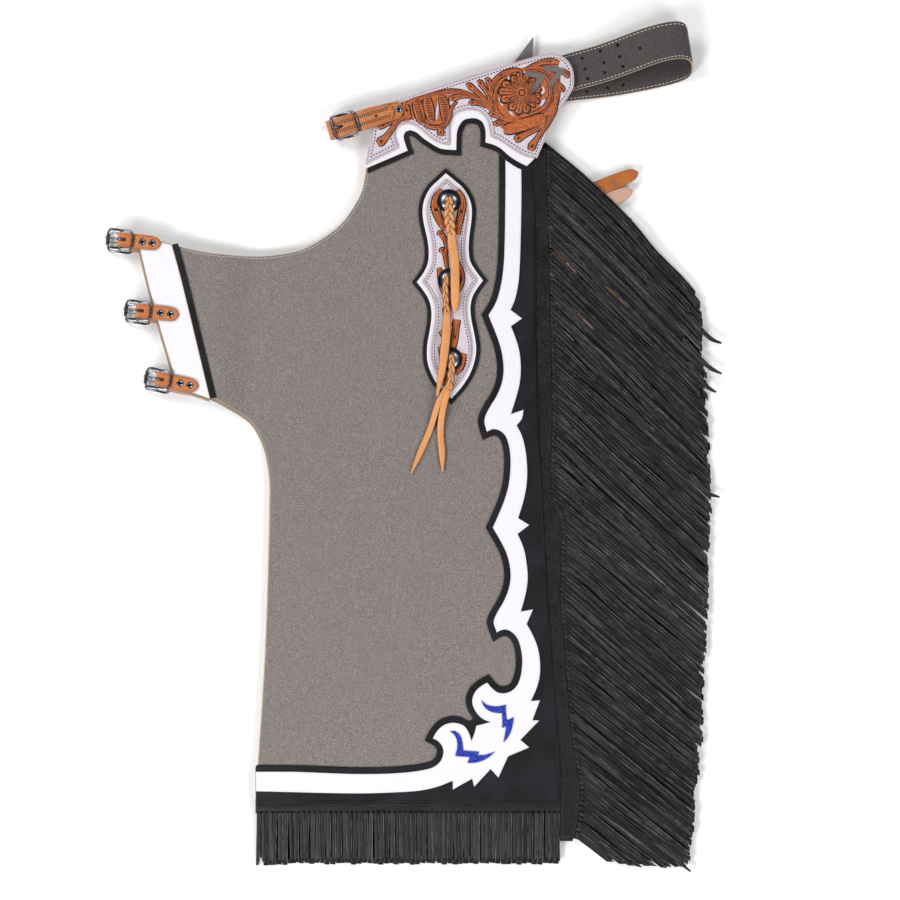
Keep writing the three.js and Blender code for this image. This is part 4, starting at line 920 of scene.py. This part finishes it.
# Where the leaves crowd, the ground between them is carved leather too; a few gaps stay white
FIELDS = [
    [[[402, 106], [412, 99], [425, 95.5], [436, 92.5], [446, 91.5], [449.5, 96], [449.5, 104], [448, 112],
      [446, 119], [441, 124.5], [432, 124.5], [424, 121.5], [414, 119.5], [407, 121.5], [403, 122]],
     [[435.6, 119.5], [437.8, 100.5], [439.2, 101], [437.2, 120.5]]],
    [[[494, 113.5], [489.5, 103], [489, 92], [492.5, 82.5], [499.5, 74.5], [508, 70.5], [518, 69],
      [530, 66.5],
      [543, 61.5], [552, 60.5], [558.5, 63], [558, 68], [560, 76], [560, 90], [559.5, 102], [554.5, 113],
      [549, 123],
      [541, 130], [532, 134], [522, 136], [508, 132], [500, 127], [497, 120]],
     [[502.5, 80.5], [508, 76.8], [511.5, 78.5], [508.5, 83.5], [503.5, 84.5]],
     [[497.8, 98], [500.8, 99.5], [503, 105.5], [501.5, 107]],
     [[507.5, 109.5], [511, 111.5], [514, 117], [510, 114.5]],
     [[540.5, 88], [544, 87], [544.5, 93], [541.5, 95]], [[541.5, 101], [545.5, 99], [543, 106],
                                                          [539.5, 107]],
     [[523.5, 71.5], [527.5, 71], [527, 76.5], [524, 76]]],
    [[[451, 90.5], [463, 90.5], [476, 95], [487, 101], [491, 107], [497, 114.5], [489, 111], [479, 104],
      [466, 98],
      [452, 96]]],
]
for field in FIELDS:
    slab(carving, [rounded(seen(loop), 1.5 * MM, 80) for loop in field], PLATE - 0.1 * MM,
         PLATE + 0.25 * MM, lifted,
         0.12 * MM, 3 * MM, 0, 1, 1)

# Open flower of five frilled petals round a button
FLOWER = seen([[522, 93.2]])[0]


def petal_cut(heading, stops, rises, widths, height):
    """An inked cut in a petal, outward from the flower's middle, with stops in squares."""
    angle = math.radians(heading)
    way = np.array([math.cos(angle), math.sin(angle)])
    line = np.column_stack([FLOWER[:2] + way * (stops * SQUARE)[:, None], PLATE + np.array(rises) * MM,
                            np.array(widths) * MM])
    ribbon(carving, line, height * MM, DOMED, 1, 0.0, 1 * MM, lifted)


for k, (heading, reach, spread) in enumerate(((98, 20.5, 36), (30, 20, 31), (-29, 19.5, 29), (-100, 21.5, 40),
                                              (176, 23, 39))):
    for size, low, height, finish in ((1.08, 0.45, 0.3, 1), (1.0, 0.5, 1.05, 0)):
        fan, radial = 25, 9
        points = []
        for r in range(radial):
            for a in range(fan):
                swing = (a / (fan - 1) - 0.5) * 2
                angle = math.radians(heading + swing * spread * size)
                frill = 0.86 + 0.14 * abs(math.cos(swing * 4.6)) - 0.16 * abs(swing) ** 3
                radius = (0.12 + 0.88 * r / (radial - 1)) * reach * SQUARE * frill * size
                dome = math.sin(math.pi * min(0.96, 0.12 + 0.84 * r / (radial - 1))) ** 0.6
                ridge = 0.82 + 0.18 * math.cos(swing * 15)
                edge = (1 - abs(swing) ** 4) if 0 < r < radial - 1 else 0.0
                points.append((FLOWER[0] + radius * math.cos(angle), FLOWER[1] + radius * math.sin(angle),
                               PLATE + (low + height * dome * ridge * edge) * MM))
        faces = [[r * fan + a, r * fan + a + 1, (r + 1) * fan + a + 1, (r + 1) * fan + a]
                 for r in range(radial - 1) for a in range(fan - 1)]
        flipped = [face[::-1] for face in faces]
        lowered = np.array(points) - [0, 0, (0.4 + 0.02 * k) * MM]
        base = len(points)
        both = np.vstack([lifted(np.array(points)), lifted(lowered)])
        rim_a = [r * fan for r in range(radial)]
        rim_b = [r * fan + fan - 1 for r in range(radial)]
        ring = [*range(fan), *rim_b[1:], *range(radial * fan - 2, (radial - 1) * fan - 1, -1),
                *rim_a[-2:0:-1]]
        walls = [[ring[i], ring[(i + 1) % len(ring)], ring[(i + 1) % len(ring)] + base, ring[i] + base]
                 for i in range(len(ring))]
        carving.add(both, faces + [[i + base for i in f] for f in flipped] + walls, finish)
    for j in range(-3, 4):
        petal_cut(heading + j * spread * 0.29, (np.array([0.70, 0.80, 0.92]) - 0.02 * j * j) * reach,
                  (1.34, 1.28, 0.95), (0.3, 1.35, 0.7), 0.26)
    for j in range(-2, 3):
        petal_cut(heading + j * spread * 0.36, np.array([0.26, 0.5, 0.78 - 0.05 * abs(j)]) * reach,
                  (1.42, 1.5, 1.3), (0.4, 0.9, 0.5), 0.2)
button = lifted(np.array([[FLOWER[0], FLOWER[1], PLATE]]))[0]
lathe(carving, np.array([(3.9, 0.3), (3.8, 1.5), (3.2, 1.65)]) * MM, button, 1, 24)
lathe(carving, np.array([(3.0, 0.5), (2.9, 1.8), (2.0, 2.2), (0.8, 2.4)]) * MM, button, 0, 24)

MEDALLION_FRONDS = [
    [[441.8, 189.6, 1.8], [436.8, 197, 4.4], [435.4, 206, 5.8], [438, 216, 5.2], [442, 225, 3.8],
     [445, 231, 1.6]],
    [[457.6, 190, 1.8], [461.4, 198, 4], [462.2, 207, 4.8], [460.4, 217, 4.4], [458.6, 226, 4],
     [458.2, 235, 2.6]],
    [[446, 254, 1.6], [446.5, 245, 2.4], [443.5, 237, 3], [439.8, 233.4, 3.2], [438.6, 236, 1.8]],
    [[447, 268, 1.6], [446, 260, 2.6], [444.6, 253, 3], [441.8, 250, 3], [441, 253, 1.8]],
    [[439, 268, 2.2], [441, 276, 4], [442.4, 285, 4.4], [444, 294, 2.2]],
    [[455, 258, 1.6], [458.5, 266, 3.4], [461, 274, 4.2], [460.6, 284, 4], [457, 293, 2]],
    [[449, 300, 1.6], [446, 308, 3.4], [447, 318, 3.6], [450, 326, 1.8]],
    [[456.8, 320, 4.6], [455.6, 330, 4.2], [454.4, 340, 4.2], [453, 349, 3]],
    [[440.4, 330.6, 3], [443, 334, 3.4], [446.5, 341, 3], [448, 350, 1.8]],
    [[439.4, 345.6, 3], [441.6, 348, 3.8], [442.6, 356, 3.6], [445, 366, 2]],
    [[463.8, 353.6, 3], [462, 360, 4.6], [459.4, 368, 4.4], [455.4, 374, 2]],
    [[449.5, 376, 1.6], [447, 382, 3.4], [449, 390, 2.2]],
]
for k, rows in enumerate(MEDALLION_FRONDS):
    frond(rows, 0.02 * k, 2 if k in (0, 1, 7) else 1, 0.8, 1.5)
make("carved_flowers", carving, (carved_tan, cut_black))


# Conchos and leather strings

CONCHO_FOOT = 16.0 * MM
concho_spots = squares([[193, 601.5], [193.7, 522.8], [194.6, 443.5]])
for k, (x, y) in enumerate(concho_spots):
    pile = Pile()
    seat = lifted(np.array([[x, y, CONCHO_FOOT]]))[0]
    lathe(pile, np.array([(13.6, 0.0), (14.1, 0.3), (14.2, 0.8), (13.7, 1.25), (12.9, 1.35), (12.2, 1.1),
                          (11.4, 1.2), (10.2, 1.9), (8.6, 2.9)]) * MM, seat, 1, 56)
    lathe(pile, np.array([(10.6, 1.6), (9.4, 2.55), (8.0, 3.35), (6.0, 4.05), (3.8, 4.45), (1.6, 4.6),
                          (0.4, 4.6)]) * MM, seat, 0, 56)
    for j in range(40):
        angle = j * math.tau / 40
        bead = seat + np.array([12.95 * math.cos(angle), 12.95 * math.sin(angle), 1.15]) * MM
        lathe(pile, np.array([(0.75, 0.0), (0.62, 0.35), (0.3, 0.52)]) * MM, bead, 1, 6)
    make(f"concho_dome_{k + 1}", pile, (bright_silver, black_silver_and_painted_dark), [f"left_concho_{k + 1}"])

STACK = 4.9 * MM
STRING_WIDTH = 12 * MM
STRING_THICK = 1.8 * MM
# Tails, columns: across, up, lift as a share of the concho's height, width as a share
string_tails = {
    1: [[[195, 572, 0.6, 0.7], [196, 560, 0.75, 0.95], [198.6, 540, 1.02, 0.97], [199, 515, 1.06, 0.93],
         [199, 500, 0.75, 0.8], [198.5, 489.5, 0.6, 0.22]]],
    2: [[[190.6, 492, 0.55, 0.65], [190.8, 480, 0.6, 0.86], [189.6, 462, 0.95, 0.92], [187, 440, 1, 0.86],
         [184.4, 424, 0.6, 0.66], [181, 407, 0.45, 0.2]]],
    3: [[[193, 418, 0.3, 0.5], [184, 404, 0.0, 0.6], [174, 373.5, -0.97, 0.64], [164, 350, -1, 0.62],
         [155, 329.5, -1, 0.16]],
        [[193.4, 418, 0.5, 0.5], [190.5, 408, 0.3, 0.66], [186.6, 392, -0.3, 0.68], [184.4, 371, -0.97, 0.7],
         [186, 350, -1, 0.68], [186.6, 331.4, -1, 0.2]]],
}
knots = {
    1: ([[193.4, 605, 0.95, 0.62], [193, 598, 1.05, 0.7], [193, 588, 1.0, 0.98], [194, 577, 0.62, 0.95],
         [195.4, 568, 0.6, 0.8]], 6.4),
    2: ([[190.6, 527, 1, 0.36], [189.6, 518, 1.02, 0.46], [189.4, 508, 0.85, 0.5], [190.2, 497, 0.5, 0.5],
         [190.6, 489, 0.5, 0.6]], 5.6),
    3: ([[195.8, 448, 1, 0.4], [195.8, 438, 1.02, 0.52], [195.2, 428, 0.9, 0.56], [194, 419, 0.4, 0.56],
         [193, 413, 0.3, 0.6]], 5.2),
}


def string_rows(rows):
    rows = squares(rows)
    rows[:, 2] = CONCHO_FOOT + rows[:, 2] * STACK
    rows[:, 3] *= STRING_WIDTH
    return rows


for k in (1, 2, 3):
    for j, rows in enumerate(string_tails[k]):
        line = string_rows(rows)
        line[:, 2] += 0.2 * MM * j
        pile = Pile()
        ribbon(pile, line, STRING_THICK, FLAT, 0, 0.0, 3 * MM, lifted, edges=(1, 1))
        tail = make(f"string_{k}_tail_{'ab'[j]}", pile, (latigo, latigo_edge_and_plait_shade),
                    [f"left_string_{k}"])
        route = lifted(curve(line, 6 * MM, dims=3)[:, :3]) + [0, 0, STRING_THICK / 2]
    pile = Pile()
    rows, turns = knots[k]
    core = curve(string_rows(rows), 1.2 * MM, dims=3)
    run = np.linspace(0, turns / 2 * math.tau / 2, len(core))
    for strand in range(3):
        phase = run + strand * math.tau / 3
        plait = core.copy()
        plait[:, 0] += np.sin(phase) * core[:, 3] * 0.34
        plait[:, 2] += 1.0 * MM + np.sin(2 * phase) * 1.2 * MM
        plait[:, 3] = core[:, 3] * 0.36 + 0.8 * MM
        ribbon(pile, plait, 1.6 * MM, DOMED, 0, 0.0, 1.2 * MM, lifted)
        # A wider, lower ribbon of the edge leather under each strand: the strands' cut edges, and painted
        # shade in the gaps between them
        shade = plait.copy()
        shade[:, 2] -= 0.30 * MM
        shade[:, 3] += 1.1 * MM
        ribbon(pile, shade, 1.2 * MM, FLAT, 1, 0.0, 1.2 * MM, lifted)
    make(f"string_{k}_plait", pile, (latigo, latigo_edge_and_plait_shade), [f"left_string_{k}"])


# Straps on their buckles

def placed(origin, slope, flip=1):
    """Turns points by the slope, in degrees, and moves them to the origin; a flip of -1 is for the
    leg that lies face down."""
    c, s = math.cos(math.radians(slope)), math.sin(math.radians(slope))

    def place(points):
        return np.column_stack([origin[0] + points[:, 0] * c - points[:, 1] * s,
                                origin[1] + points[:, 0] * s + points[:, 1] * c,
                                origin[2] + flip * points[:, 2]])

    return place


def on_strap(profile, place):
    """Puts flat strap points, along and across and up from its middle, on a side view path at a buckle."""
    line = curve(np.array(profile) * MM, 0.6 * MM)
    run = lengths_of(line)
    along = unit(np.gradient(line, axis=0))

    def bend(points):
        spot = np.clip(points[:, 0], 0, run[-1])
        x, z, tx, tz = [np.interp(spot, run, column) for column in (*line.T, *along.T)]
        x = x + tz * points[:, 2]
        z = z - tx * points[:, 2]
        return place(np.column_stack([x, points[:, 1], z]))

    return bend, run[-1], line, run


def strap_outline(start, end, width, point=7 * MM):
    """A strap's flat outline with a rounded point at its start."""
    half = width / 2
    ease, slim = start + point * 0.42, half * 0.72
    return np.array([[start + point, half], [ease, slim], [start, 0], [ease, -slim], [start + point, -half],
                     [end, -half], [end, half]])


def edge_crease(pile, bend, start, end, width, point, broad, steps):
    """A dark line creased round a strap's point and along its sides, spaced by steps flat and then bent."""
    crease = curve(strap_outline(start, end, width, point)[[6, 0, 1, 2, 3, 4, 5]], steps[0])
    rows = np.column_stack([crease, np.full(len(crease), 0.86 * MM), np.full(len(crease), broad)])
    ribbon(pile, rows, broad * 0.2, DOMED, 1, 0.0, steps[1], bend)


def straight_sides(corners, step):
    """A polygon with points all along its sides."""
    return np.vstack([curve(np.array([a, b]), step)[:-1] for a, b in zip(corners, np.roll(corners, -1, 0))])


def tab_slot(line, run):
    """The tongue's slot on a strap's flat pattern, where the strap turns round the bar, and its start."""
    start = run[np.flatnonzero(line[:, 0] < 7.0 * MM)[0]]
    end = run[np.flatnonzero(line[:, 0] < 4.0 * MM)[-1]]
    half = 1.7 * MM
    return straight_sides(np.array([[start, -half], [end, -half], [end, half], [start, half]]),
                          1.2 * MM), start


def round_hole(x, y, radius, count=16):
    return np.array([[x + radius * math.cos(a), y + radius * math.sin(a)]
                     for a in np.arange(count) * math.tau / count])


def rivet(pile, centre, radius, flip=1):
    """A tubular rivet's rolled ring, with painted shade as a dark disc in its sunk middle."""
    profile = np.array([(radius, -0.2), (radius, 0.35), (radius * 0.86, 0.75), (radius * 0.68, 0.7),
                        (radius * 0.58, 0.3)]) * [1, MM]
    lathe(pile, profile * [1, flip], centre, 0, 28)
    # Dark disc in the sunk middle: painted shade in the rivet's hollow
    sunk = np.array([(radius * 0.6, 0.1 * MM), (radius * 0.5, 0.34 * MM), (radius * 0.2, 0.36 * MM)])
    lathe(pile, sunk * [1, flip], centre, 1, 20)


def buckle_wire(pile, length, width, bow, place, radius=1.35 * MM):
    """A chamfered wire frame whose ends stand higher than its middle, and its centre bar."""
    end, side, cut = length / 2, width / 2, 3.4 * MM
    corner = [[end, side - cut], [end - cut * 0.35, side - cut * 0.35], [end - cut, side]]
    loop = [*corner, [0, side], *[[-x, y] for x, y in corner[::-1]], *[[-x, -y] for x, y in corner],
            [0, -side], *[[x, -y] for x, y in corner[::-1]]]
    line = curve(loop, 1.2 * MM, closed=True)
    sides = unit(np.roll(line, -1, 0) - np.roll(line, 1, 0))
    out = np.stack([sides[:, 1], -sides[:, 0]], 1)
    height = bow * (line[:, 0] / end) ** 2
    centres = np.column_stack([line, height])
    flat = np.column_stack([out, np.zeros(len(out))]) * radius * 1.08
    up = np.zeros_like(flat)
    up[:, 2] = radius
    ring = Pile()
    sweep(ring, centres, flat, up, ROUND, closed=True)
    bar = np.column_stack([np.zeros(9), np.linspace(-side, side, 9), np.zeros(9)])
    sweep(ring, bar, np.tile([radius * 0.95, 0, 0], (9, 1)), np.tile([0, 0, radius * 0.95], (9, 1)), ROUND)
    pile.add(place(np.vstack(ring.points)), ring.faces)


def tongue_wire(pile, length, bow, place):
    """A tongue: an eye rolled round the bar, and a tapered shank out to the frame's end."""
    eye = [[2.3 * math.cos(a), 0, 2.3 * math.sin(a)] for a in np.radians(np.linspace(215, -100, 20))]
    rest = bow / MM + 2.45
    end = -length / 2 / MM
    shank = [[-3.4, 0, 1.2], [-8.0, 0, rest * 0.66], [end + 1.0, 0, rest], [end - 2.6, 0, rest]]
    path = curve(np.array(eye[::-1] + shank) * MM, 1.0 * MM, dims=3)
    share = np.linspace(0, 1, len(path))
    half = (1.2 - 0.35 * np.clip(share * 1.6 - 0.6, 0, 1)) * MM
    thick = np.where(share < 0.42, 0.62, 0.85) * MM
    along = unit(np.gradient(path, axis=0))
    side = np.tile([0, 1.0, 0], (len(path), 1))
    up = unit(np.cross(along, side))
    wire = Pile()
    sweep(wire, path, side * half[:, None], up * thick[:, None], ROUND)
    pile.add(place(np.vstack(wire.points)), wire.faces)


TAB_WIDTH = 15.6 * MM
STRAP_FACE = 0.9 * MM
BUCKLE_LENGTH = 29.2 * MM
LEG_BOW, FRONT_BOW = 3.0 * MM, 5.2 * MM
TAB_LENGTH = 49.3
TAB_PATH = [(TAB_LENGTH, 0.5), (30, 0.5), (12, 0.5), (8.2, 0.72), (4.6, 1.7), (2.2, 2.42), (0, 2.56),
            (-1.8, 1.8),
            (-2.55, 0), (-1.8, -1.8), (0, -2.56), (4, -2.35), (8, -1.75), (13.5, -1.6)]
buckles = squares([[-135, 563.3, -7], [-117, 492.2, -6.5], [-97, 424, -11.5]])
for side, flip, level, shift in (("left", 1, 18.9 * MM, no_shift), ("right", -1, 7.5 * MM, RIGHT_SHIFT)):
    for k, (x, y, slope) in enumerate(buckles):
        origin = np.array([x + shift[0], y + shift[1], level])
        place = placed(origin, slope, flip)
        bend, end, line, run = on_strap(TAB_PATH, place)
        slot_hole, slot_from = tab_slot(line, run)
        outline = rounded(strap_outline(0, end, TAB_WIDTH), 1.2 * MM)
        strap = Pile()
        slab(strap, [outline, slot_hole], -STRAP_FACE, STRAP_FACE, bend, 0.45 * MM, 2.4 * MM, 0, 1, 2)
        edge_crease(strap, bend, 1.6 * MM, slot_from + 3 * MM, TAB_WIDTH - 3.2 * MM, 6 * MM, 0.5 * MM,
                    (1.2 * MM, 1.4 * MM))
        make(f"{side}_strap_tab_{k + 1}", strap, (strap_tan, strap_edge, strap_flesh),
             [f"{side}_buckle_tab_{k + 1}"])
        metal = Pile()
        buckle_wire(metal, BUCKLE_LENGTH, 21.4 * MM, LEG_BOW, place)
        make(f"{side}_buckle_wire_{k + 1}", metal, (nickel,), [f"{side}_buckle_frame_{k + 1}"])
        prong = Pile()
        tongue_wire(prong, BUCKLE_LENGTH, LEG_BOW, place)
        make(f"{side}_buckle_prong_{k + 1}", prong, (nickel,), [f"{side}_buckle_tongue_{k + 1}"],
             body=f"{side}_tongue_{k + 1}")
        studs = Pile()
        for reach in (26.6, 38.6):
            rivet(studs, place(np.array([[reach * MM, 0, 1.4 * MM]]))[0], 4.3 * MM, flip)
        make(f"{side}_tab_rivets_{k + 1}", studs, (nickel, black_silver_and_painted_dark))


# Billets under the fringe

for side, shift, rows in (
    ("left", no_shift, [[256, 580.5, 383, 631.5], [258, 523, 376, 585], [258, 452.5, 384, 528]]),
    ("right", RIGHT_SHIFT, [[256, 565, 378, 616.5], [258, 508, 373, 569], [258, 437, 381, 511]]),
):
    for k, (x0, y0, x1, y1) in enumerate(rows):
        start, tip = squares([[x0, y0], [x1, y1]]) + shift
        way = tip - start
        length = np.linalg.norm(way)
        way = way / length
        matrix = np.array([[-way[0], way[1]], [-way[1], -way[0]]])

        def laid(points, tip=tip, matrix=matrix):
            flat = points[:, :2] @ matrix.T + tip
            return lifted(np.column_stack([flat, points[:, 2]]))

        pile = Pile()
        holes = [round_hole(d * MM, 0, 1.7 * MM) for d in (33, 52, 71, 90)]
        slab(pile, [rounded(strap_outline(0, length, TAB_WIDTH, 12 * MM), 1.5 * MM), *holes], 5.8 * MM,
             7.6 * MM,
             laid, 0.45 * MM, 4 * MM, 0, 1, 2)
        make(f"{side}_leg_billet_{k + 1}", pile, (shaded_billet_tan if side == "left" else strap_flesh, strap_edge,
             strap_flesh if side == "left" else shaded_billet_tan), [f"{side}_billet_{k + 1}"])


# Belt, its lace, and the front strap

belt_rows = [
    [293, 725.5, 0, 13, 0], [311, 730, 0, 13, 0], [320, 732.6, 0, 15, 0], [346, 739.5, 0.22, 17, 0],
    [371, 748, 0.52, 19, 0], [391, 755, 0.8, 18, 0], [410, 760, 0.95, 11, 0], [423, 761.3, 1, 8, 0],
    [429, 760, 0.93, 8, 1], [432.4, 757, 0.74, 9, 1], [433.6, 752.5, 0.5, 9, 1], [432.6, 748, 0.27, 10, 1],
    [429, 744.4, 0.1, 11, 1], [418, 740, 0, 15, 1], [400, 735.2, 0, 14, 1], [384, 731.8, 0, 11, 1],
    [359, 727.2, 0, 9, 1], [343, 725, 0, 8, 1], [320, 722.2, 0, 7, 2], [293, 719, 0, 6, 2],
]
foot_of = {0: 9.0, 1: 1.0, 2: 4.4}
BELT_WIDTH = 45 * MM
belt_line = squares(belt_rows)
for row in belt_line:
    foot = foot_of[int(row[4])]
    row[2] = (foot + (25.0 - foot) * row[2]) * MM
belt_line = curve(belt_line[:, :4], 2.5 * MM, dims=3)
belt_run = lengths_of(belt_line[:, :3])
belt_along = unit(np.gradient(belt_line[:, :3], axis=0))


def on_belt(points):
    """Belt points, along and across and out from its middle, on the belt's path."""
    spot = points[:, 0]
    x, y, z, run = [np.interp(spot, belt_run, column) for column in belt_line.T]
    along = np.stack([np.interp(spot, belt_run, column) for column in belt_along.T], 1)
    turn = np.radians(run)
    across = np.column_stack([-np.sin(turn), np.cos(turn), np.zeros(len(turn))])
    out = unit(np.cross(along, across))
    return np.column_stack([x, y, z]) + across * points[:, 1:2] + out * points[:, 2:3]


def belt_spots(rows, first):
    """Places on the belt's flat pattern of holes seen from above, on its upper or its lower run."""
    found = []
    middle = belt_run[np.argmax(belt_line[:, 0])]
    stretch = np.flatnonzero(belt_run <= middle) if first else np.flatnonzero(belt_run >= middle)
    for x, y in seen(rows):
        best = None
        for i in stretch:
            turn = math.radians(belt_line[i, 3])
            across = np.array([-math.sin(turn), math.cos(turn)])
            gap = np.array([x, y]) - belt_line[i, :2]
            rest = abs(gap @ [math.cos(turn), math.sin(turn)])
            if best is None or rest < best[0]:
                best = (rest, belt_run[i], gap @ across)
        found.append(best[1:])
    return found


upper_holes = belt_spots([[583, 57.8], [601, 50.8], [618, 45.5], [585, 68.7], [603.3, 63], [619.3, 57.2],
                          [588, 78.2], [605, 72.5], [621.8, 67.4], [639, 49.5]], True)
lower_holes = belt_spots([[588, 90.4], [607.5, 86.5], [624.4, 83.3]], False)
belt_length = belt_run[-1]
pile = Pile()
flat_belt = np.array([[0, -BELT_WIDTH / 2], [belt_length, -BELT_WIDTH / 2], [belt_length, BELT_WIDTH / 2],
                      [0, BELT_WIDTH / 2]])
flat_belt = straight_sides(flat_belt, 3 * MM)
punched = [round_hole(s, t, 1.9 * MM) for s, t in (*upper_holes, *lower_holes)]
slab(pile, [flat_belt, *punched], -1.0 * MM, 1.0 * MM, on_belt, 0.45 * MM, 4 * MM, 0, 1, 0, 0)
make("belt_strap", pile, (belt_hide, grey_edge), ["belt"])
pile = Pile()
for t in (-BELT_WIDTH / 2 + 3.2 * MM, BELT_WIDTH / 2 - 3.2 * MM):
    for level in (1.0 * MM, -1.0 * MM):
        row = np.array([[1 * MM, t], [belt_length - 1 * MM, t]])
        stitches(pile, row, level, 4.6 * MM, 3.1 * MM, 1.0 * MM, on_belt)
make("belt_stitching", pile, (white_thread,))
# A black disc sunk in each punched hole: painted shade for the hole's depth
pile = Pile()
for s, t in upper_holes + lower_holes:
    centre = on_belt(np.array([[s, t, -0.3 * MM]]))[0]
    lathe(pile, np.array([(2.0, 0.0), (1.9, 0.12), (0.4, 0.12)]) * MM, centre, 0, 16)
make("belt_hole_depths", pile, (black_edge_dye_and_shade,))

for name, node, level in (("belt_lacing_1", "belt_lace_1", "lace"), ("belt_lacing_2", "belt_lace_2", "lace"),
                          ("lace_spike", "belt_lace_end", "lace_end")):
    plate(name, node, level, (lace_grey, lace_grey, flesh_side), 4 * MM, 0.3 * MM)

front_place = placed([*squares([[89, 677]])[0], 13.5 * MM], 16.5)
CHAPE_PATH = [(74, 3.4), (50, 3.4), (28, 3.4), (24.5, 3.05), (18.5, 0.9), (15, 0.5), (12, 0.5), (8.2, 0.72),
              (4.6, 1.7), (2.2, 2.42), (0, 2.56), (-1.8, 1.8), (-2.55, 0), (-1.8, -1.8), (0, -2.56),
              (4, -2.35),
              (8, -1.75), (25, -1.6)]
BILLET_PATH = [(62, 5.5), (45, 5.5), (27, 5.5), (23.5, 5.2), (17.5, 3.1), (14, 2.65), (9.5, 2.8), (4.2, 4.4),
               (0, 4.85), (-4.2, 4.4), (-9.5, 2.8), (-13, 2.6), (-16.4, 2.4), (-19.6, 0.8), (-20.6, -2.1),
               (-19.6, -5.0), (-16.4, -6.6), (-12, -6.8), (20, -6.8), (55, -6.8)]
FRONT_WIDTH = 20.4 * MM
FRONT_CREASE = (1.5 * MM, 1.6 * MM)

bend, end, line, run = on_strap(CHAPE_PATH, front_place)
slot_hole, slot_from = tab_slot(line, run)
pile = Pile()
slab(pile, [rounded(strap_outline(0, end, FRONT_WIDTH, 10 * MM), 1.4 * MM), slot_hole], -STRAP_FACE,
     STRAP_FACE, bend,
     0.45 * MM, 2.6 * MM, 0, 1, 2)
edge_crease(pile, bend, 1.8 * MM, 46 * MM, FRONT_WIDTH - 3.4 * MM, 9 * MM, 0.6 * MM, FRONT_CREASE)
make("front_strap_chape", pile, (strap_tan, strap_edge, strap_flesh), ["front_chape"])

bend, end, line, run = on_strap(BILLET_PATH, front_place)
over_bar = run[np.argmin(np.abs(line[:len(line) // 2, 0] + 7 * MM))]
slot_hole = round_hole(over_bar, 0, 1.9 * MM, 20)
slot_hole[:, 0] = over_bar + (slot_hole[:, 0] - over_bar) * 2.6
holes = [round_hole(max(9 * MM, spot), 0, 1.5 * MM) for spot in (over_bar - 22 * MM, over_bar - 47 * MM)]
pile = Pile()
slab(pile, [rounded(strap_outline(0, end, FRONT_WIDTH, 9 * MM), 1.4 * MM), slot_hole, *holes], -STRAP_FACE,
     STRAP_FACE,
     bend, 0.45 * MM, 2.6 * MM, 0, 1, 2)
edge_crease(pile, bend, 1.8 * MM, over_bar + 10 * MM, FRONT_WIDTH - 3.4 * MM, 9 * MM, 0.6 * MM, FRONT_CREASE)
# Rows of slanted border stamps, one pair along each side
for side in (-1, 1):
    for k in range(30):
        along = 7.5 * MM + k * 2.6 * MM
        if along > over_bar + 8 * MM:
            continue
        for row, slant in ((5.9 * MM, 1), (3.6 * MM, -1)):
            stamp = np.array([[along - 0.85 * MM, side * (row - 0.95 * MM * slant), STRAP_FACE, 0.7 * MM],
                              [along, side * row, STRAP_FACE, 1.35 * MM],
                              [along + 0.85 * MM, side * (row + 0.95 * MM * slant), STRAP_FACE, 0.7 * MM]])
            ribbon(pile, stamp, 0.16 * MM, DOMED, 3, 0.0, 0.8 * MM, bend)
make("front_strap_billet", pile, (strap_tan, strap_edge, strap_flesh, cut_black),
     ["front_billet"])
pile = Pile()
buckle_wire(pile, BUCKLE_LENGTH, 28 * MM, FRONT_BOW, front_place, 1.4 * MM)
make("front_buckle_wire", pile, (nickel,), ["front_buckle_frame"])
pile = Pile()
tongue_wire(pile, BUCKLE_LENGTH, FRONT_BOW, front_place)
make("front_buckle_prong", pile, (nickel,), ["front_buckle_tongue"])
pile = Pile()
rivet(pile, front_place(np.array([[67.5 * MM, 0, 4.3 * MM]]))[0], 4.0 * MM)
make("front_strap_rivet", pile, (nickel, black_silver_and_painted_dark))


# Floor and light

steps = np.linspace(-4.0, 4.0, 9).tolist()
mesh = bpy.data.meshes.new("studio_floor")
mesh.from_pydata([(x, y, -FLOOR_GAP) for y in steps for x in steps], [],
                 [(r * 9 + c, r * 9 + c + 1, r * 9 + c + 10,
                   r * 9 + c + 9) for r in range(8) for c in range(8)])
mesh.materials.append(paper)
floor = bpy.data.objects.new("studio_floor", mesh)
bpy.context.scene.collection.objects.link(floor)

world = bpy.data.worlds.new("soft_studio")
world.use_nodes = True
world.node_tree.nodes["Background"].inputs["Color"].default_value = colour("#fbfbff")
world.node_tree.nodes["Background"].inputs["Strength"].default_value = 0.14
bpy.context.scene.world = world
bpy.context.scene.view_settings.view_transform = "Standard"
for name, spot, power in (("key_softbox", (-1.9, 1.8, 1.9), 52), ("right_softbox", (2.0, 1.6, 2.0), 26),
                          ("left_softbox", (-2.0, -1.8, 2.0), 84), ("front_softbox", (1.9, -1.9, 1.9), 56)):
    lamp = bpy.data.lights.new(name, "AREA")
    lamp.size = 1.3
    lamp.energy = power
    holder = bpy.data.objects.new(name, lamp)
    holder.location = spot
    holder.rotation_mode = "QUATERNION"
    holder.rotation_quaternion = (-Vector(spot)).to_track_quat("-Z", "Y")
    bpy.context.scene.collection.objects.link(holder)
